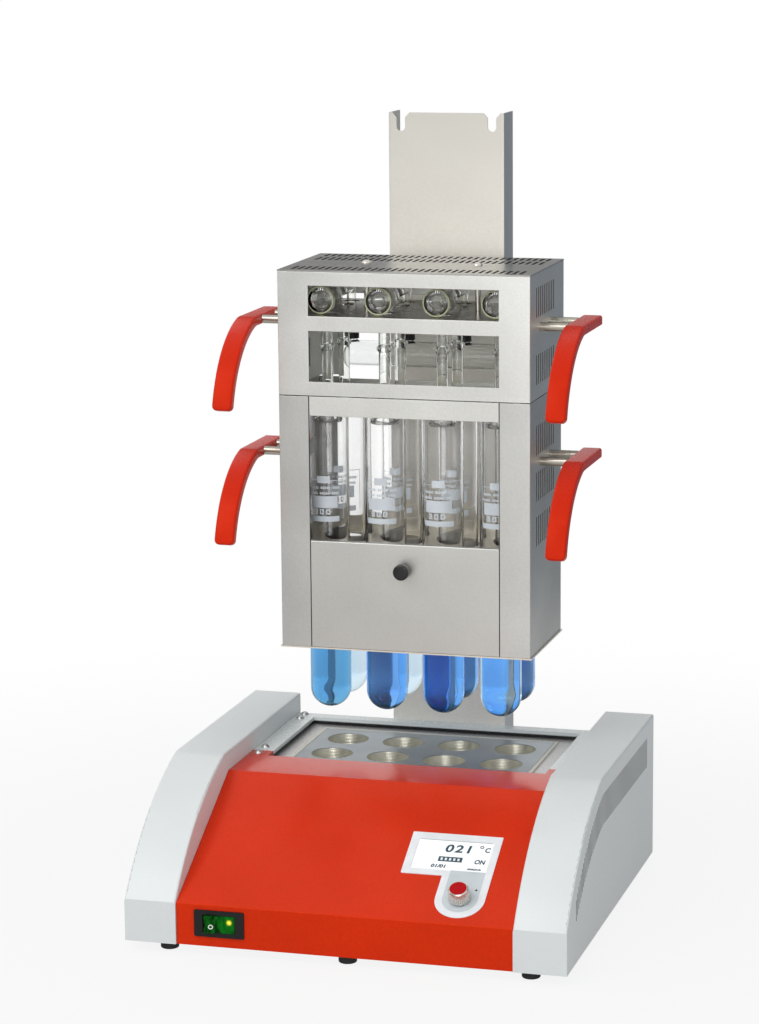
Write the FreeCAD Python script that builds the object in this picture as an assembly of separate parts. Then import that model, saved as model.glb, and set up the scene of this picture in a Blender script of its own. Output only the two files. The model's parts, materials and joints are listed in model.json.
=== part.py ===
# Eight-place block digester: heated base, rear mast, raised tube rack, suction hood.
# Millimetres, +Z up, front towards -Y. Heights are measured from the table.
# While modelling, y is measured from the front face of the side covers. At the end
# everything moves forward, so the origin is the middle of the underside of the whole.
import FreeCAD, Part
import math
import os

V = FreeCAD.Vector

# General
overrun = 3.0
seat_gap = 0.3
slide_gap = 0.3
running_gap = 0.05
match = 0.05
bend_radius = 1.2

# Base housing
foot_height = 10.0
foot_diameter = 18.0
foot_inset_x = 39.0
foot_inset_y = 20.0
foot_rim_radius = 1.5
cover_width = 52.2
cover_wall = 2.0
cover_rise = 20.0
cover_back_reach = 7.0
cover_band_height = 52.0
cover_curve_run = 158.0
cover_curve_rise = 16.0
cover_edge_radius = 2.0
vent_slot_width = 2.0
vent_slot_height = 31.0
vent_short_share = 0.67
vent_slot_pitch = 5.2
vent_first_y = 40.0
vent_last_inset = 37.0
vent_edge_drop = 17.0

# Sheet parts of the base
panel_wall = 1.5
pan_wall = 2.0
pan_flange_height = 8.0
chassis_room = 4.0
chassis_front_reach = 36.0
chassis_flange_width = 16.0
front_band_y = 2.0
front_band_height = 51.5
deck_height = 140.0
deck_ledge_width = 21.8
deck_back_ledge = 15.0
lip_depth = 64.0
opening_side_room = 22.0
opening_front_room = 5.0
opening_back_room = 23.0
ear_length = 17.2
screw_head_diameter = 9.0
screw_head_height = 3.2
screw_shank_diameter = 4.0
screw_shank_length = 9.0
deck_screw_inset = 13.0
ear_screw_inset = 7.5
deck_screw_front_inset = 13.8
deck_screw_back_inset = 6.0
deck_screw_back_spacing = 17.0

# Heating block, its seal, heater and insulation
well_pitch = 60.0
well_columns = 4
well_rows = 2
rows_centre_y = 303.5
well_room = 1.0
well_depth = 69.5
block_height = 75.0
block_side_margin = 12.5
block_end_margin = 15.0
block_drop = 5.0
block_edge_radius = 0.8
seal_width = 3.5
seal_height = 9.0
seal_fit = 0.1
surround_drop = 7.0
heater_thickness = 7.5
sensor_diameter = 4.0
sensor_length = 70.0
sensor_in_block = 30.0
sensor_drop = 45.0
sensor_fit = 0.2

# Control panel on the sloped cover
bezel_right_inset = 34.2
bezel_width = 90.3
bezel_low = 62.5
bezel_height = 56.7
bezel_thickness = 1.0
bezel_corner_radius = 1.0
lobe_width = 49.0
lobe_low = 8.4
screen_left_inset = 8.3
screen_right_inset = 7.3
screen_low_inset = 7.5
screen_high_inset = 8.7
screen_depth = 4.0
screen_recess = 0.4
screen_fit = 0.2
board_depth = 14.4
board_thickness = 1.6
board_margin = 4.0
board_post_diameter = 5.0
board_post_inset = 6.0
encoder_size = 14.0
encoder_height = 8.0
bush_diameter = 9.0
bush_rise = 1.6
bush_fit = 0.2
shaft_diameter = 6.0
shaft_start = 11.0
encoder_floor = 1.2
press_travel = 1.0
knob_diameter = 21.6
knob_top_diameter = 19.6
knob_height = 12.6
knob_rim = 0.8
knob_rib_count = 36
knob_rib_radius = 0.35
knob_rib_low_share = 0.12
shaft_in_knob = 8.0
cap_diameter = 16.6
cap_height = 1.4
cap_inset = 1.0
cap_dome = 0.3

# Main switch
switch_inset = 43.7
switch_centre_z = 33.3
switch_frame_width = 50.4
switch_frame_height = 26.6
switch_frame_proud = 1.8
switch_frame_radius = 1.5
switch_body_inset = 3.0
switch_body_depth = 22.0
switch_fit = 0.3
rocker_length = 30.0
rocker_height = 16.8
rocker_pocket_gap = 1.4
rocker_side_gap = 0.4
rocker_pivot_depth = 6.0
rocker_end_rise = 8.8
rocker_mid_rise = 6.8
rocker_back = 1.0
rocker_hub_radius = 3.5
rocker_tilt = 7.5
rocker_pin_radius = 1.5
rocker_pin_length = 2.0

# Rear panel, inlet and mast
rear_slot_count = 10
rear_slot_width = 3.0
rear_slot_height = 40.0
rear_slot_pitch = 9.0
rear_slot_low = 60.0
rear_slot_inset = 9.5
inlet_inset = 47.5
inlet_z = 42.0
inlet_width = 48.0
inlet_height = 28.0
inlet_flange = 2.0
inlet_body_width = 30.0
inlet_body_height = 22.0
inlet_body_depth = 24.0
inlet_socket_width = 25.0
inlet_socket_height = 17.0
inlet_socket_depth = 17.0
inlet_pin_width = 4.0
inlet_pin_height = 2.0
inlet_pin_spacing = 7.0
inlet_pin_length = 14.0
inlet_corner = 1.5
inlet_fit = 0.3
mast_half_width = 61.5
mast_depth = 38.0
mast_wall = 2.0
mast_low = 20.0
mast_top = 786.0
notch_inset = 13.0
notch_width = 9.0
notch_depth = 19.0
notch_mouth = 18.0
notch_flare_depth = 5.0
mast_screw_inset = 26.5
mast_screw_zs = (55.0, 110.0)
mast_screw_diameter = 5.0

# Tube rack
box_side_room = 18.75
box_wall = 1.5
box_row_room = 39.5
rack_lift_height = 115.0
rack_height = 259.0
upright_width = 31.65
rear_strip_width = 23.0
bottom_lip = 1.4
bottom_hole_room = 3.0
tube_plate_rise = 95.0
tube_plate_hole_room = 5.0
tube_plate_upstand = 16.0
header_height = 19.5
tray_hole_room = 1.2
tray_rear_gap = 1.75
louvre_front_inset = 27.0
louvre_width = 78.0
louvre_height = 29.5
louvre_slot_width = 3.4
louvre_slot_count = 10
rack_louvre_rises = (111.0, 156.0, 203.0)

# Sample tubes and liquid
tube_diameter = 42.0
tube_wall = 1.8
tube_drop = 69.0
tube_rim_reach = 2.75
tube_rim_height = 3.0
liquid_depth = 106.0
liquid_fit = 0.1

# Front shield
shield_height = 111.8
shield_side_gap = 0.3
shield_top_fold = 6.0
shield_tongue_width = 8.0
guide_depth = 2.1
guide_width = 12.7
shield_knob_diameter = 16.0
shield_knob_length = 13.0
shield_knob_neck_diameter = 8.0
shield_knob_neck = 3.0
shield_knob_drop = 25.8
shield_knob_edge = 2.0
shield_stud_diameter = 4.0
shield_stud_head = 7.0
shield_stud_head_height = 1.5

# Carriage between the rack and the mast
carriage_rise = 10.0
carriage_height = 75.0
carriage_tongue_height = 104.0
carriage_tongue_inset = 11.5
carriage_wall = 3.0
carriage_plate_inset = 11.75
carriage_plate_wall = 2.0
carriage_web_inset = 5.0
carriage_lip_reach = 9.0

# Handles, their places measured from the front and side of the steel boxes
handle_stand_off = 29.25
handle_width = 20.5
handle_thickness = 9.5
handle_back_reach = 105.0
handle_fold_reach = 21.0
handle_front_reach = 65.0
handle_drop = 82.8
handle_sagitta = 17.0
handle_corner_radius = 5.0
handle_tip_radius = 2.5
handle_fold_radius = 30.0
handle_edge_radius = 1.2
rod_diameter = 9.0
rod_insets = (43.0, 86.0)
upper_rod_rise = 71.2
lower_rod_rise = 194.8

# Suction hood
hood_height = 127.0
hood_overhang = 11.0
hood_window_inset = 0.3
window_one_drops = (46.0, 15.5)
window_two_drops = (112.0, 61.0)
hood_rear_strip = 24.0
hood_rail_rise = 5.4
hood_louvre_rises = (15.0, 82.0)
shelf_drop = 46.0
shelf_hole_diameter = 22.0
outlet_hole_diameter = 17.0
top_slot_count = 35
top_slot_pitch = 6.9
top_slot_width = 3.2
top_slot_insets = (9.5, 92.0, 124.5)
top_slot_lengths = (25.0, 24.5, 22.0)
post_pitch_share = 0.97
post_back_reach = 5.5
post_diameter = 5.5
post_head_diameter = 10.0
post_head_height = 3.6
stud_drop = 19.0
stud_diameter = 8.0
stud_neck_diameter = 6.0
stud_mast_gap = 4.0
stud_groove = 5.0

# Glass heads and manifold
glass_wall = 1.5
stem_diameter = 11.6
bead_diameter = 13.6
bead_height = 4.0
bead_drop = 35.0
skirt_diameter = 28.4
skirt_reach = 12.6
skirt_ring_height = 5.0
skirt_taper_height = 32.6
bulb_diameter = 28.0
bulb_front_inset = 16.0
bulb_nose = 9.0
bulb_shoulder = 36.0
bulb_length = 54.0
neck_diameter = 10.0
outlet_inset = 22.0
outlet_drop = 17.5
manifold_diameter = 26.5
manifold_drop = 54.0
manifold_left_reach = 7.6
manifold_right_reach = 11.0
manifold_end_radius = 7.0
manifold_neck_rise = 30.0
sleeve_seat = 2.0
sleeve_top_gap = 1.5
sleeve_wall = 2.6
sleeve_fit = 0.1
nozzle_inset = 6.0
nozzle_diameter = 10.0
nozzle_length = 22.0
nozzle_foot_length = 2.0
nozzle_foot_wall = 2.0

# Values worked out from the sizes above: block, opening and base
well_diameter = tube_diameter + well_room
column_xs = [(i - (well_columns - 1) / 2) * well_pitch for i in range(well_columns)]
row_ys = [rows_centre_y + (j - (well_rows - 1) / 2) * well_pitch for j in range(well_rows)]
places = [(x, y) for y in row_ys for x in column_xs]
block_half_width = column_xs[-1] + well_diameter / 2 + block_side_margin
block_front = row_ys[0] - well_diameter / 2 - block_end_margin
block_back = row_ys[-1] + well_diameter / 2 + block_end_margin
block_top = deck_height - block_drop
block_low = block_top - block_height
surround_top = deck_height - surround_drop
opening_half_width = block_half_width + opening_side_room
opening_front_y = block_front - opening_front_room
opening_back_y = block_back + opening_back_room
slope_end_y = opening_front_y - lip_depth
ear_end_y = opening_front_y + ear_length
deck_back_y = opening_back_y + deck_back_ledge
base_depth = deck_back_y + cover_back_reach
chassis_half_width = opening_half_width + chassis_room
chassis_front_y = opening_front_y - chassis_front_reach
deck_screw_x = opening_half_width + deck_screw_inset
ear_screw_y = opening_front_y + ear_screw_inset
deck_screw_ys = (ear_end_y + deck_screw_front_inset,
                 deck_back_y - deck_screw_back_inset - deck_screw_back_spacing,
                 deck_back_y - deck_screw_back_inset)
cover_inner = opening_half_width + deck_ledge_width
half_base = cover_inner + cover_width
cover_top_height = deck_height + cover_rise
deck_half_width = cover_inner - seat_gap

# Worked out for the control panel, switch, inlet and mast
slope_run = slope_end_y - front_band_y
slope_rise = deck_height - front_band_height
slope_angle = math.degrees(math.atan2(slope_rise, slope_run))
bezel_right_x = deck_half_width - bezel_right_inset
bezel_left_x = bezel_right_x - bezel_width
bezel_high = bezel_low + bezel_height
screen_left_x = bezel_left_x + screen_left_inset
screen_right_x = bezel_right_x - screen_right_inset
screen_low = bezel_low + screen_low_inset
screen_high = bezel_high - screen_high_inset
lobe_radius = lobe_width / 2
knob_x = bezel_right_x - lobe_radius
knob_s = lobe_low + lobe_radius
switch_centre_x = switch_inset - deck_half_width
inlet_x = deck_half_width - inlet_inset
mast_front = deck_back_y
mast_back = mast_front + mast_depth
notch_x = mast_half_width - notch_inset
mast_screw_x = mast_half_width - mast_screw_inset

# Worked out for the rack, tubes, shield and carriage
box_half_width = column_xs[-1] + tube_diameter / 2 + box_side_room
box_inner = box_half_width - box_wall
box_front_y = row_ys[0] - box_row_room
rack_back_y = row_ys[-1] + box_row_room
rack_low = deck_height + rack_lift_height
rack_top = rack_low + rack_height
upright_inner = box_half_width - upright_width
tray_low = rack_top - header_height
tray_rear_half_width = box_half_width - rear_strip_width - tray_rear_gap
tube_plate_height = rack_low + tube_plate_rise
rim_low = tray_low + box_wall
tube_low = rack_low - tube_drop
tube_rim_diameter = tube_diameter + 2 * tube_rim_reach
liquid_level = tube_low + liquid_depth
shield_top = rack_low + shield_height
shield_knob_height = shield_top - shield_knob_drop
carriage_low = rack_low + carriage_rise
carriage_high = carriage_low + carriage_height
carriage_tongue_top = carriage_low + carriage_tongue_height
carriage_tongue_half = mast_half_width - carriage_tongue_inset
carriage_plate_half = box_half_width - carriage_plate_inset
carriage_web_half = carriage_tongue_half - carriage_web_inset
carriage_back = mast_back + slide_gap + carriage_wall

# Worked out for the handles, hood and glass
handle_inner_x = box_half_width + handle_stand_off
handle_back_y = box_front_y + handle_back_reach
handle_fold_y = box_front_y + handle_fold_reach
handle_end_y = box_front_y - handle_front_reach
rod_ys = [box_front_y + inset for inset in rod_insets]
upper_rod_z = rack_top + upper_rod_rise
lower_rod_z = rack_low + lower_rod_rise
hood_back_y = rack_back_y + hood_overhang
hood_top = rack_top + hood_height
hood_window_half = upright_inner - hood_window_inset
window_one = [hood_top - drop for drop in window_one_drops]
window_two = [hood_top - drop for drop in window_two_drops]
shelf_height = hood_top - shelf_drop
shelf_low = shelf_height - box_wall
hood_rear_rail_low = shelf_height + hood_rail_rise
post_x = well_pitch * post_pitch_share
post_y = rows_centre_y + post_back_reach
stud_z = hood_top - stud_drop
stud_length = mast_front - hood_back_y - stud_mast_gap
bead_z = shelf_height - bead_drop
skirt_low = rim_low - skirt_reach
skirt_taper_top = skirt_low + skirt_taper_height
bulb_z = shelf_height + seat_gap + bulb_diameter / 2
bulb_front_y = box_front_y + bulb_front_inset
bulb_shoulder_y = bulb_front_y + bulb_shoulder
bulb_waist_y = bulb_front_y + bulb_length
outlet_y = hood_back_y - outlet_inset
outlet_bottom = shelf_low - outlet_drop
manifold_z = shelf_height - manifold_drop
manifold_left_x = column_xs[0] - manifold_left_reach
manifold_right_x = column_xs[-1] + manifold_right_reach
manifold_neck_top = manifold_z + manifold_neck_rise
sleeve_low = manifold_z + manifold_diameter / 2 + sleeve_seat
sleeve_high = shelf_low - sleeve_top_gap
nozzle_x = column_xs[-1] - nozzle_inset


def box(x0, x1, y0, y1, z0, z1):
    return Part.makeBox(x1 - x0, y1 - y0, z1 - z0, V(x0, y0, z0))


def rod(diameter, start, end):
    axis = end - start
    return Part.makeCylinder(diameter / 2, axis.Length, start, axis)


def upright_rod(diameter, x, y, z0, z1):
    return rod(diameter, V(x, y, z0), V(x, y, z1))


def fuse(first, *others):
    joined = first.fuse(list(others)) if others else first
    return joined.removeSplitter()


def mirrored(shape):
    return shape.mirror(V(0, 0, 0), V(1, 0, 0))


def both_sides(shape):
    return [shape, mirrored(shape)]


def softened(shape, radius, chosen):
    edges = [edge for edge in shape.Edges if chosen(edge)]
    return shape.makeFillet(radius, edges)


def runs_along(edge, axis):
    ends = [vertex.Point for vertex in edge.Vertexes]
    if len(ends) < 2 or not isinstance(edge.Curve, Part.Line):
        return False
    return abs((ends[1] - ends[0]).normalize().dot(axis)) > math.cos(math.radians(1))


def offset_path(path, distance):
    """Mitred copy of an open path in a plane, moved to its right-hand side."""
    normals = []
    for (a0, b0), (a1, b1) in zip(path, path[1:]):
        length = math.hypot(a1 - a0, b1 - b0)
        normals.append(((b1 - b0) / length, -(a1 - a0) / length))
    moved = []
    for index, (a, b) in enumerate(path):
        before = normals[max(index - 1, 0)]
        after = normals[min(index, len(normals) - 1)]
        mitre = 1 + before[0] * after[0] + before[1] * after[1]
        moved.append((a + distance * (before[0] + after[0]) / mitre,
                      b + distance * (before[1] + after[1]) / mitre))
    return moved


def folded_sheet(path, wall, place, run):
    """Sheet of one wall bent along a path, drawn out along run."""
    outline = path + offset_path(path, wall)[::-1]
    points = [place(a, b) for a, b in outline]
    return Part.Face(Part.makePolygon(points + points[:1])).extrude(run)


def in_yz(x):
    return lambda a, b: V(x, a, b)


def in_xy(z):
    return lambda a, b: V(a, b, z)


def on_slope(shape):
    """Turns a piece drawn flat, with z as its height, onto the sloped front panel."""
    shape.rotate(V(0, 0, 0), V(1, 0, 0), slope_angle)
    shape.translate(V(0, front_band_y, front_band_height))
    return shape


def round_holes(diameter, z0, z1, spots):
    return [upright_rod(diameter, x, y, z0, z1) for x, y in spots]


def dome_screw(head_diameter, head_height, shank_diameter, shank_length):
    """Dome-head screw standing on z = 0 with its shank below."""
    crown = (head_diameter / 2) ** 2 / (2 * head_height) + head_height / 2
    ball = Part.makeSphere(crown, V(0, 0, head_height - crown))
    head = ball.common(Part.makeCylinder(head_diameter / 2, head_height))
    return fuse(head, Part.makeCylinder(shank_diameter / 2, shank_length, V(0, 0, -shank_length)))


def cover_outline(inset):
    """Side profile of a cover, drawn inset by a wall: band, curve and flat top."""
    start = V(0, 0, cover_band_height)
    end = V(0, cover_curve_run, cover_top_height)
    chord = end - start
    out = V(0, -chord.z, chord.y).normalize()
    middle = (start + end) * 0.5 + out * cover_curve_rise
    radius = (chord.Length ** 2 / 4 + cover_curve_rise ** 2) / (2 * cover_curve_rise)
    centre = middle - out * radius
    inner = radius - inset
    low_z = centre.z + math.sqrt(inner ** 2 - (centre.y - inset) ** 2)
    high_y = centre.y - math.sqrt(inner ** 2 - (cover_top_height - inset - centre.z) ** 2)
    low = V(0, inset, low_z)
    high = V(0, high_y, cover_top_height - inset)
    arc = Part.Arc(low, centre + out * inner, high).toShape()
    back_top = V(0, base_depth - inset, cover_top_height - inset)
    back_low = V(0, base_depth - inset, foot_height)
    front_low = V(0, inset, foot_height)
    lines = [Part.makeLine(front_low, low), arc, Part.makeLine(high, back_top)]
    lines += [Part.makeLine(back_top, back_low), Part.makeLine(back_low, front_low)]
    return Part.Face(Part.Wire(lines)), centre, radius


def vent_slots():
    """Upright slots that follow the top edge of the cover from front to back."""
    centre, radius = cover_outline(0)[1:]
    count = int((base_depth - vent_last_inset - vent_first_y) / vent_slot_pitch) + 1
    slots = []
    for index in range(count):
        y = vent_first_y + index * vent_slot_pitch
        reach = radius - vent_edge_drop
        high = cover_top_height - vent_edge_drop
        if y < centre.y:
            high = min(high, centre.z + math.sqrt(reach ** 2 - (y - centre.y) ** 2))
        along = min((y - vent_first_y) / (cover_curve_run - vent_first_y), 1)
        low = high - vent_slot_height * (vent_short_share + along * (1 - vent_short_share))
        slots.append(box(half_base - cover_wall - overrun, half_base + overrun,
                         y, y + vent_slot_width, low, high))
    return slots


def side_cover():
    outer = cover_outline(0)[0]
    inner = cover_outline(cover_wall)[0]
    outer.translate(V(cover_inner, 0, 0))
    body = outer.extrude(V(cover_width, 0, 0))
    body = softened(body, cover_edge_radius, is_cover_rim)
    inner.translate(V(cover_inner + cover_wall, 0, 0))
    hollow = inner.extrude(V(cover_width - 2 * cover_wall, 0, 0))
    below = box(cover_inner - overrun, half_base - cover_wall, cover_wall,
                base_depth - cover_wall, foot_height - overrun, foot_height + pan_wall + seat_gap)
    return body.cut([hollow, below] + vent_slots())


def is_cover_rim(edge):
    """True for the long edges of the profile on the outer side and for the top ones inside."""
    xs = [vertex.Point.x for vertex in edge.Vertexes]
    zs = [vertex.Point.z for vertex in edge.Vertexes]
    upper = max(zs) > cover_band_height + overrun and min(zs) > foot_height + overrun
    return abs(max(xs) - min(xs)) < match and upper


def base_pan():
    half = half_base - cover_wall - seat_gap
    front = front_band_y + panel_wall + seat_gap
    back = deck_back_y - panel_wall - seat_gap
    flange_half = cover_inner - seat_gap
    top = foot_height + pan_wall
    floor = box(-half, half, front, back, foot_height, top)
    fronts = box(-flange_half, flange_half, front, front + pan_wall, top, top + pan_flange_height)
    backs = box(-flange_half, flange_half, back - pan_wall, back, top, top + pan_flange_height)
    rail = folded_sheet([(chassis_half_width, top),
                         (chassis_half_width, deck_height - panel_wall),
                         (chassis_half_width + chassis_flange_width, deck_height - panel_wall)],
                        panel_wall, lambda a, b: V(a, chassis_front_y, b),
                        V(0, back - pan_wall - chassis_front_y, 0))
    pan = fuse(floor, fronts, backs, *both_sides(rail))
    holes = []
    for screw_y in (ear_screw_y,) + deck_screw_ys:
        for side in (-1, 1):
            holes.append(upright_rod(screw_shank_diameter + seat_gap, side * deck_screw_x, screw_y,
                                     deck_height - 3 * panel_wall, deck_height + overrun))
    return pan.cut(holes)


def feet():
    pads = []
    for x in (-half_base + foot_inset_x, 0, half_base - foot_inset_x):
        for y in (foot_inset_y, deck_back_y - foot_inset_y):
            pad = upright_rod(foot_diameter, x, y, 0, foot_height)
            pads.append(softened(pad, foot_rim_radius, touches_floor))
    return Part.makeCompound(pads)


def touches_floor(edge):
    return edge.BoundBox.ZMax < foot_rim_radius and edge.BoundBox.XLength > foot_rim_radius


def front_cover():
    path = [(front_band_y, foot_height), (front_band_y, front_band_height),
            (slope_end_y, deck_height), (opening_front_y, deck_height),
            (opening_front_y, surround_top)]
    sheet = folded_sheet(path, panel_wall, in_yz(-deck_half_width), V(2 * deck_half_width, 0, 0))
    sheet = softened(sheet, bend_radius, is_front_bend)
    fold_end = opening_half_width + panel_wall
    beside = box(fold_end, half_base, opening_front_y - 2 * panel_wall, opening_front_y + overrun,
                 surround_top - overrun, deck_height - panel_wall)
    ear = folded_sheet([(opening_half_width, surround_top), (opening_half_width, deck_height),
                        (deck_half_width, deck_height)], panel_wall,
                       lambda a, b: V(a, opening_front_y - panel_wall, b),
                       V(0, ear_end_y - opening_front_y + panel_wall, 0))
    posts = [Part.makeCylinder(board_post_diameter / 2, board_depth - panel_wall,
                               V(x, s, -board_depth)) for x, s in board_corners()]
    cover = fuse(sheet, *both_sides(ear), *[on_slope(post) for post in posts])
    screen_hole = box(screen_left_x - screen_fit, screen_right_x + screen_fit,
                      screen_low - screen_fit, screen_high + screen_fit, -overrun, overrun)
    bush_hole = upright_rod(bush_diameter + 2 * bush_fit, knob_x, knob_s, -overrun, overrun)
    half_w, half_h = switch_body_half()
    switch_hole = box(switch_centre_x - half_w - switch_fit, switch_centre_x + half_w + switch_fit,
                      front_band_y - overrun, front_band_y + overrun,
                      switch_centre_z - half_h - switch_fit, switch_centre_z + half_h + switch_fit)
    screws = [upright_rod(screw_shank_diameter + seat_gap, side * deck_screw_x, ear_screw_y,
                          deck_height - overrun, deck_height + overrun) for side in (-1, 1)]
    return cover.cut([on_slope(screen_hole), on_slope(bush_hole), switch_hole] + screws
                     + both_sides(beside))


def is_front_bend(edge):
    """The two outer bends across the width and the one at the opening's front edge."""
    start = edge.Vertexes[0].Point
    if not runs_along(edge, V(1, 0, 0)):
        return False
    return any(math.hypot(start.y - y, start.z - z) < panel_wall / 3 for y, z in
               ((front_band_y, front_band_height), (slope_end_y, deck_height),
                (opening_front_y, deck_height)))


def board_corners():
    low = bezel_low - lobe_width
    xs = (bezel_left_x + board_post_inset, bezel_right_x - board_post_inset / 2)
    return [(x, s) for x in xs for s in (low + board_post_inset, bezel_high - board_post_inset / 2)]


def deck_frame():
    inner, outer = opening_half_width, deck_half_width
    top = deck_height
    side = folded_sheet([(inner, surround_top), (inner, top), (outer, top)], panel_wall,
                        lambda a, b: V(a, ear_end_y + seat_gap, b),
                        V(0, deck_back_y - ear_end_y - seat_gap, 0))
    back = folded_sheet([(opening_back_y, surround_top), (opening_back_y, top),
                         (deck_back_y, top)], panel_wall, in_yz(-inner - panel_wall),
                        V(2 * inner + 2 * panel_wall, 0, 0))
    frame = fuse(back, *both_sides(side))
    behind = box(-half_base, half_base, opening_back_y + panel_wall, deck_back_y + overrun,
                 surround_top - overrun, top - panel_wall)
    holes = [behind] + [upright_rod(screw_shank_diameter + seat_gap, x, y, top - overrun, top + overrun)
             for x in (-deck_screw_x, deck_screw_x) for y in deck_screw_ys]
    return frame.cut(holes)


def deck_screws():
    screws = []
    for x in (-deck_screw_x, deck_screw_x):
        for y in (ear_screw_y,) + deck_screw_ys:
            screw = dome_screw(screw_head_diameter, screw_head_height,
                               screw_shank_diameter, screw_shank_length)
            screw.translate(V(x, y, deck_height))
            screws.append(screw)
    return Part.makeCompound(screws)


def block_box(margin, z0, z1):
    return box(-block_half_width - margin, block_half_width + margin,
               block_front - margin, block_back + margin, z0, z1)


def block_surround():
    plate = box(-chassis_half_width, chassis_half_width, opening_front_y - 2 * panel_wall,
                opening_back_y + 2 * panel_wall, surround_top - panel_wall, surround_top)
    return plate.cut(block_box(seal_width + 2 * seal_fit, surround_top - overrun,
                               surround_top + overrun))


def block_seal():
    ring = block_box(seal_width + seal_fit, block_top - seal_height, block_top)
    return ring.cut(block_box(seal_fit, block_top - seal_height - overrun, block_top + overrun))


def heating_block():
    block = block_box(0, block_low, block_top)
    block = softened(block, block_edge_radius, lambda edge: edge.BoundBox.ZMin > block_top - overrun)
    wells = round_holes(well_diameter, block_top - well_depth, block_top + overrun, places)
    tip = V(-block_half_width + sensor_in_block, rows_centre_y, block_top - sensor_drop)
    bore = rod(sensor_diameter + 2 * sensor_fit, tip, tip - V(sensor_in_block + overrun, 0, 0))
    return block.cut(wells + [bore])


def temperature_sensor():
    tip = V(-block_half_width + sensor_in_block - sensor_fit, rows_centre_y,
            block_top - sensor_drop)
    return rod(sensor_diameter, tip, tip - V(sensor_length - sensor_in_block, 0, 0))


def bezel():
    low = box(bezel_right_x - lobe_width, bezel_right_x, knob_s, bezel_high, 0, bezel_thickness)
    high = box(bezel_left_x, bezel_right_x, bezel_low, bezel_high, 0, bezel_thickness)
    corners = V(0, 0, 1)
    high = softened(high, bezel_corner_radius, lambda edge: runs_along(edge, corners)
                    and not_on_lobe(edge))
    disc = Part.makeCylinder(lobe_radius, bezel_thickness, V(knob_x, knob_s, 0))
    low = low.common(box(bezel_right_x - lobe_width, bezel_right_x, knob_s,
                         bezel_low + bezel_corner_radius, 0, bezel_thickness))
    plate = fuse(high, low, disc)
    screen_hole = box(screen_left_x - screen_fit, screen_right_x + screen_fit,
                      screen_low - screen_fit, screen_high + screen_fit, -overrun, overrun)
    bush_hole = upright_rod(bush_diameter + 2 * bush_fit, knob_x, knob_s, -overrun, overrun)
    return on_slope(plate.cut([screen_hole, bush_hole]))


def not_on_lobe(edge):
    point = edge.Vertexes[0].Point
    return point.y > bezel_low + overrun or point.x < bezel_right_x - lobe_width


def display_screen():
    return on_slope(box(screen_left_x, screen_right_x, screen_low, screen_high,
                        -screen_depth, bezel_thickness - screen_recess))


def control_board():
    low = bezel_low - lobe_width
    return on_slope(box(bezel_left_x, bezel_right_x + board_margin, low, bezel_high,
                        -board_depth - board_thickness, -board_depth))


def encoder_body():
    half = encoder_size / 2
    body = box(knob_x - half, knob_x + half, knob_s - half, knob_s + half,
               -board_depth, -board_depth + encoder_height)
    bush = upright_rod(bush_diameter, knob_x, knob_s, -board_depth, bush_rise)
    bore = upright_rod(shaft_diameter + 2 * running_gap, knob_x, knob_s,
                       -board_depth + encoder_floor, bush_rise + overrun)
    return on_slope(fuse(body, bush).cut(bore))


def knob_low():
    return max(bush_rise, bezel_thickness) + press_travel + seat_gap


def encoder_shaft():
    return on_slope(upright_rod(shaft_diameter, knob_x, knob_s, -shaft_start,
                                knob_low() + shaft_in_knob))


def selector_knob():
    """Slightly tapered knob with fine ribs, a chamfered rim and a seat for its cap."""
    low, high = knob_low(), knob_low() + knob_height
    bottom, top = knob_diameter / 2, knob_top_diameter / 2
    outline = [V(0, 0, low), V(bottom, 0, low), V(top, 0, high - knob_rim),
               V(top - knob_rim, 0, high), V(0, 0, high)]
    body = Part.Face(Part.makePolygon(outline + outline[:1])).revolve(V(0, 0, 0), V(0, 0, 1), 360)
    grooves = []
    for index in range(knob_rib_count):
        angle = 2 * math.pi * index / knob_rib_count
        groove = upright_prism(knob_rib_radius, angle, bottom * math.cos(angle),
                               bottom * math.sin(angle), low + knob_height * knob_rib_low_share,
                               high - 2 * knob_rim)
        grooves.append(leaned(groove, angle, bottom, low))
    bore = Part.makeCylinder(shaft_diameter / 2 + running_gap, shaft_in_knob + seat_gap + overrun,
                             V(0, 0, low - overrun))
    recess = Part.makeCylinder(cap_diameter / 2 + running_gap, cap_inset + overrun,
                               V(0, 0, high - cap_inset))
    body = body.cut(grooves + [bore, recess])
    body.translate(V(knob_x, knob_s, 0))
    return on_slope(body)


def leaned(groove, angle, bottom, low):
    """Tilts a groove's cutter inwards along the knob's taper."""
    taper = math.degrees(math.atan2((knob_diameter - knob_top_diameter) / 2, knob_height))
    foot = V(bottom * math.cos(angle), bottom * math.sin(angle), low)
    groove.rotate(foot, V(math.sin(angle), -math.cos(angle), 0), taper)
    return groove


def upright_prism(radius, angle, x, y, z0, z1):
    """Square bar stood on edge, for a V groove in a round side."""
    corners = []
    for quarter in range(4):
        turn = angle + quarter * math.pi / 2
        corners.append(V(x + radius * math.cos(turn), y + radius * math.sin(turn), z0))
    return Part.Face(Part.makePolygon(corners + corners[:1])).extrude(V(0, 0, z1 - z0))


def knob_cap():
    low = knob_low() + knob_height - cap_inset
    disc = Part.makeCylinder(cap_diameter / 2, cap_height, V(0, 0, low))
    disc = softened(disc, cap_dome, lambda edge: edge.BoundBox.ZMin > low + cap_height / 2)
    disc.translate(V(knob_x, knob_s, 0))
    return on_slope(disc)


def switch_body_half():
    return switch_frame_width / 2 - switch_body_inset, switch_frame_height / 2 - switch_body_inset


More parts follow.
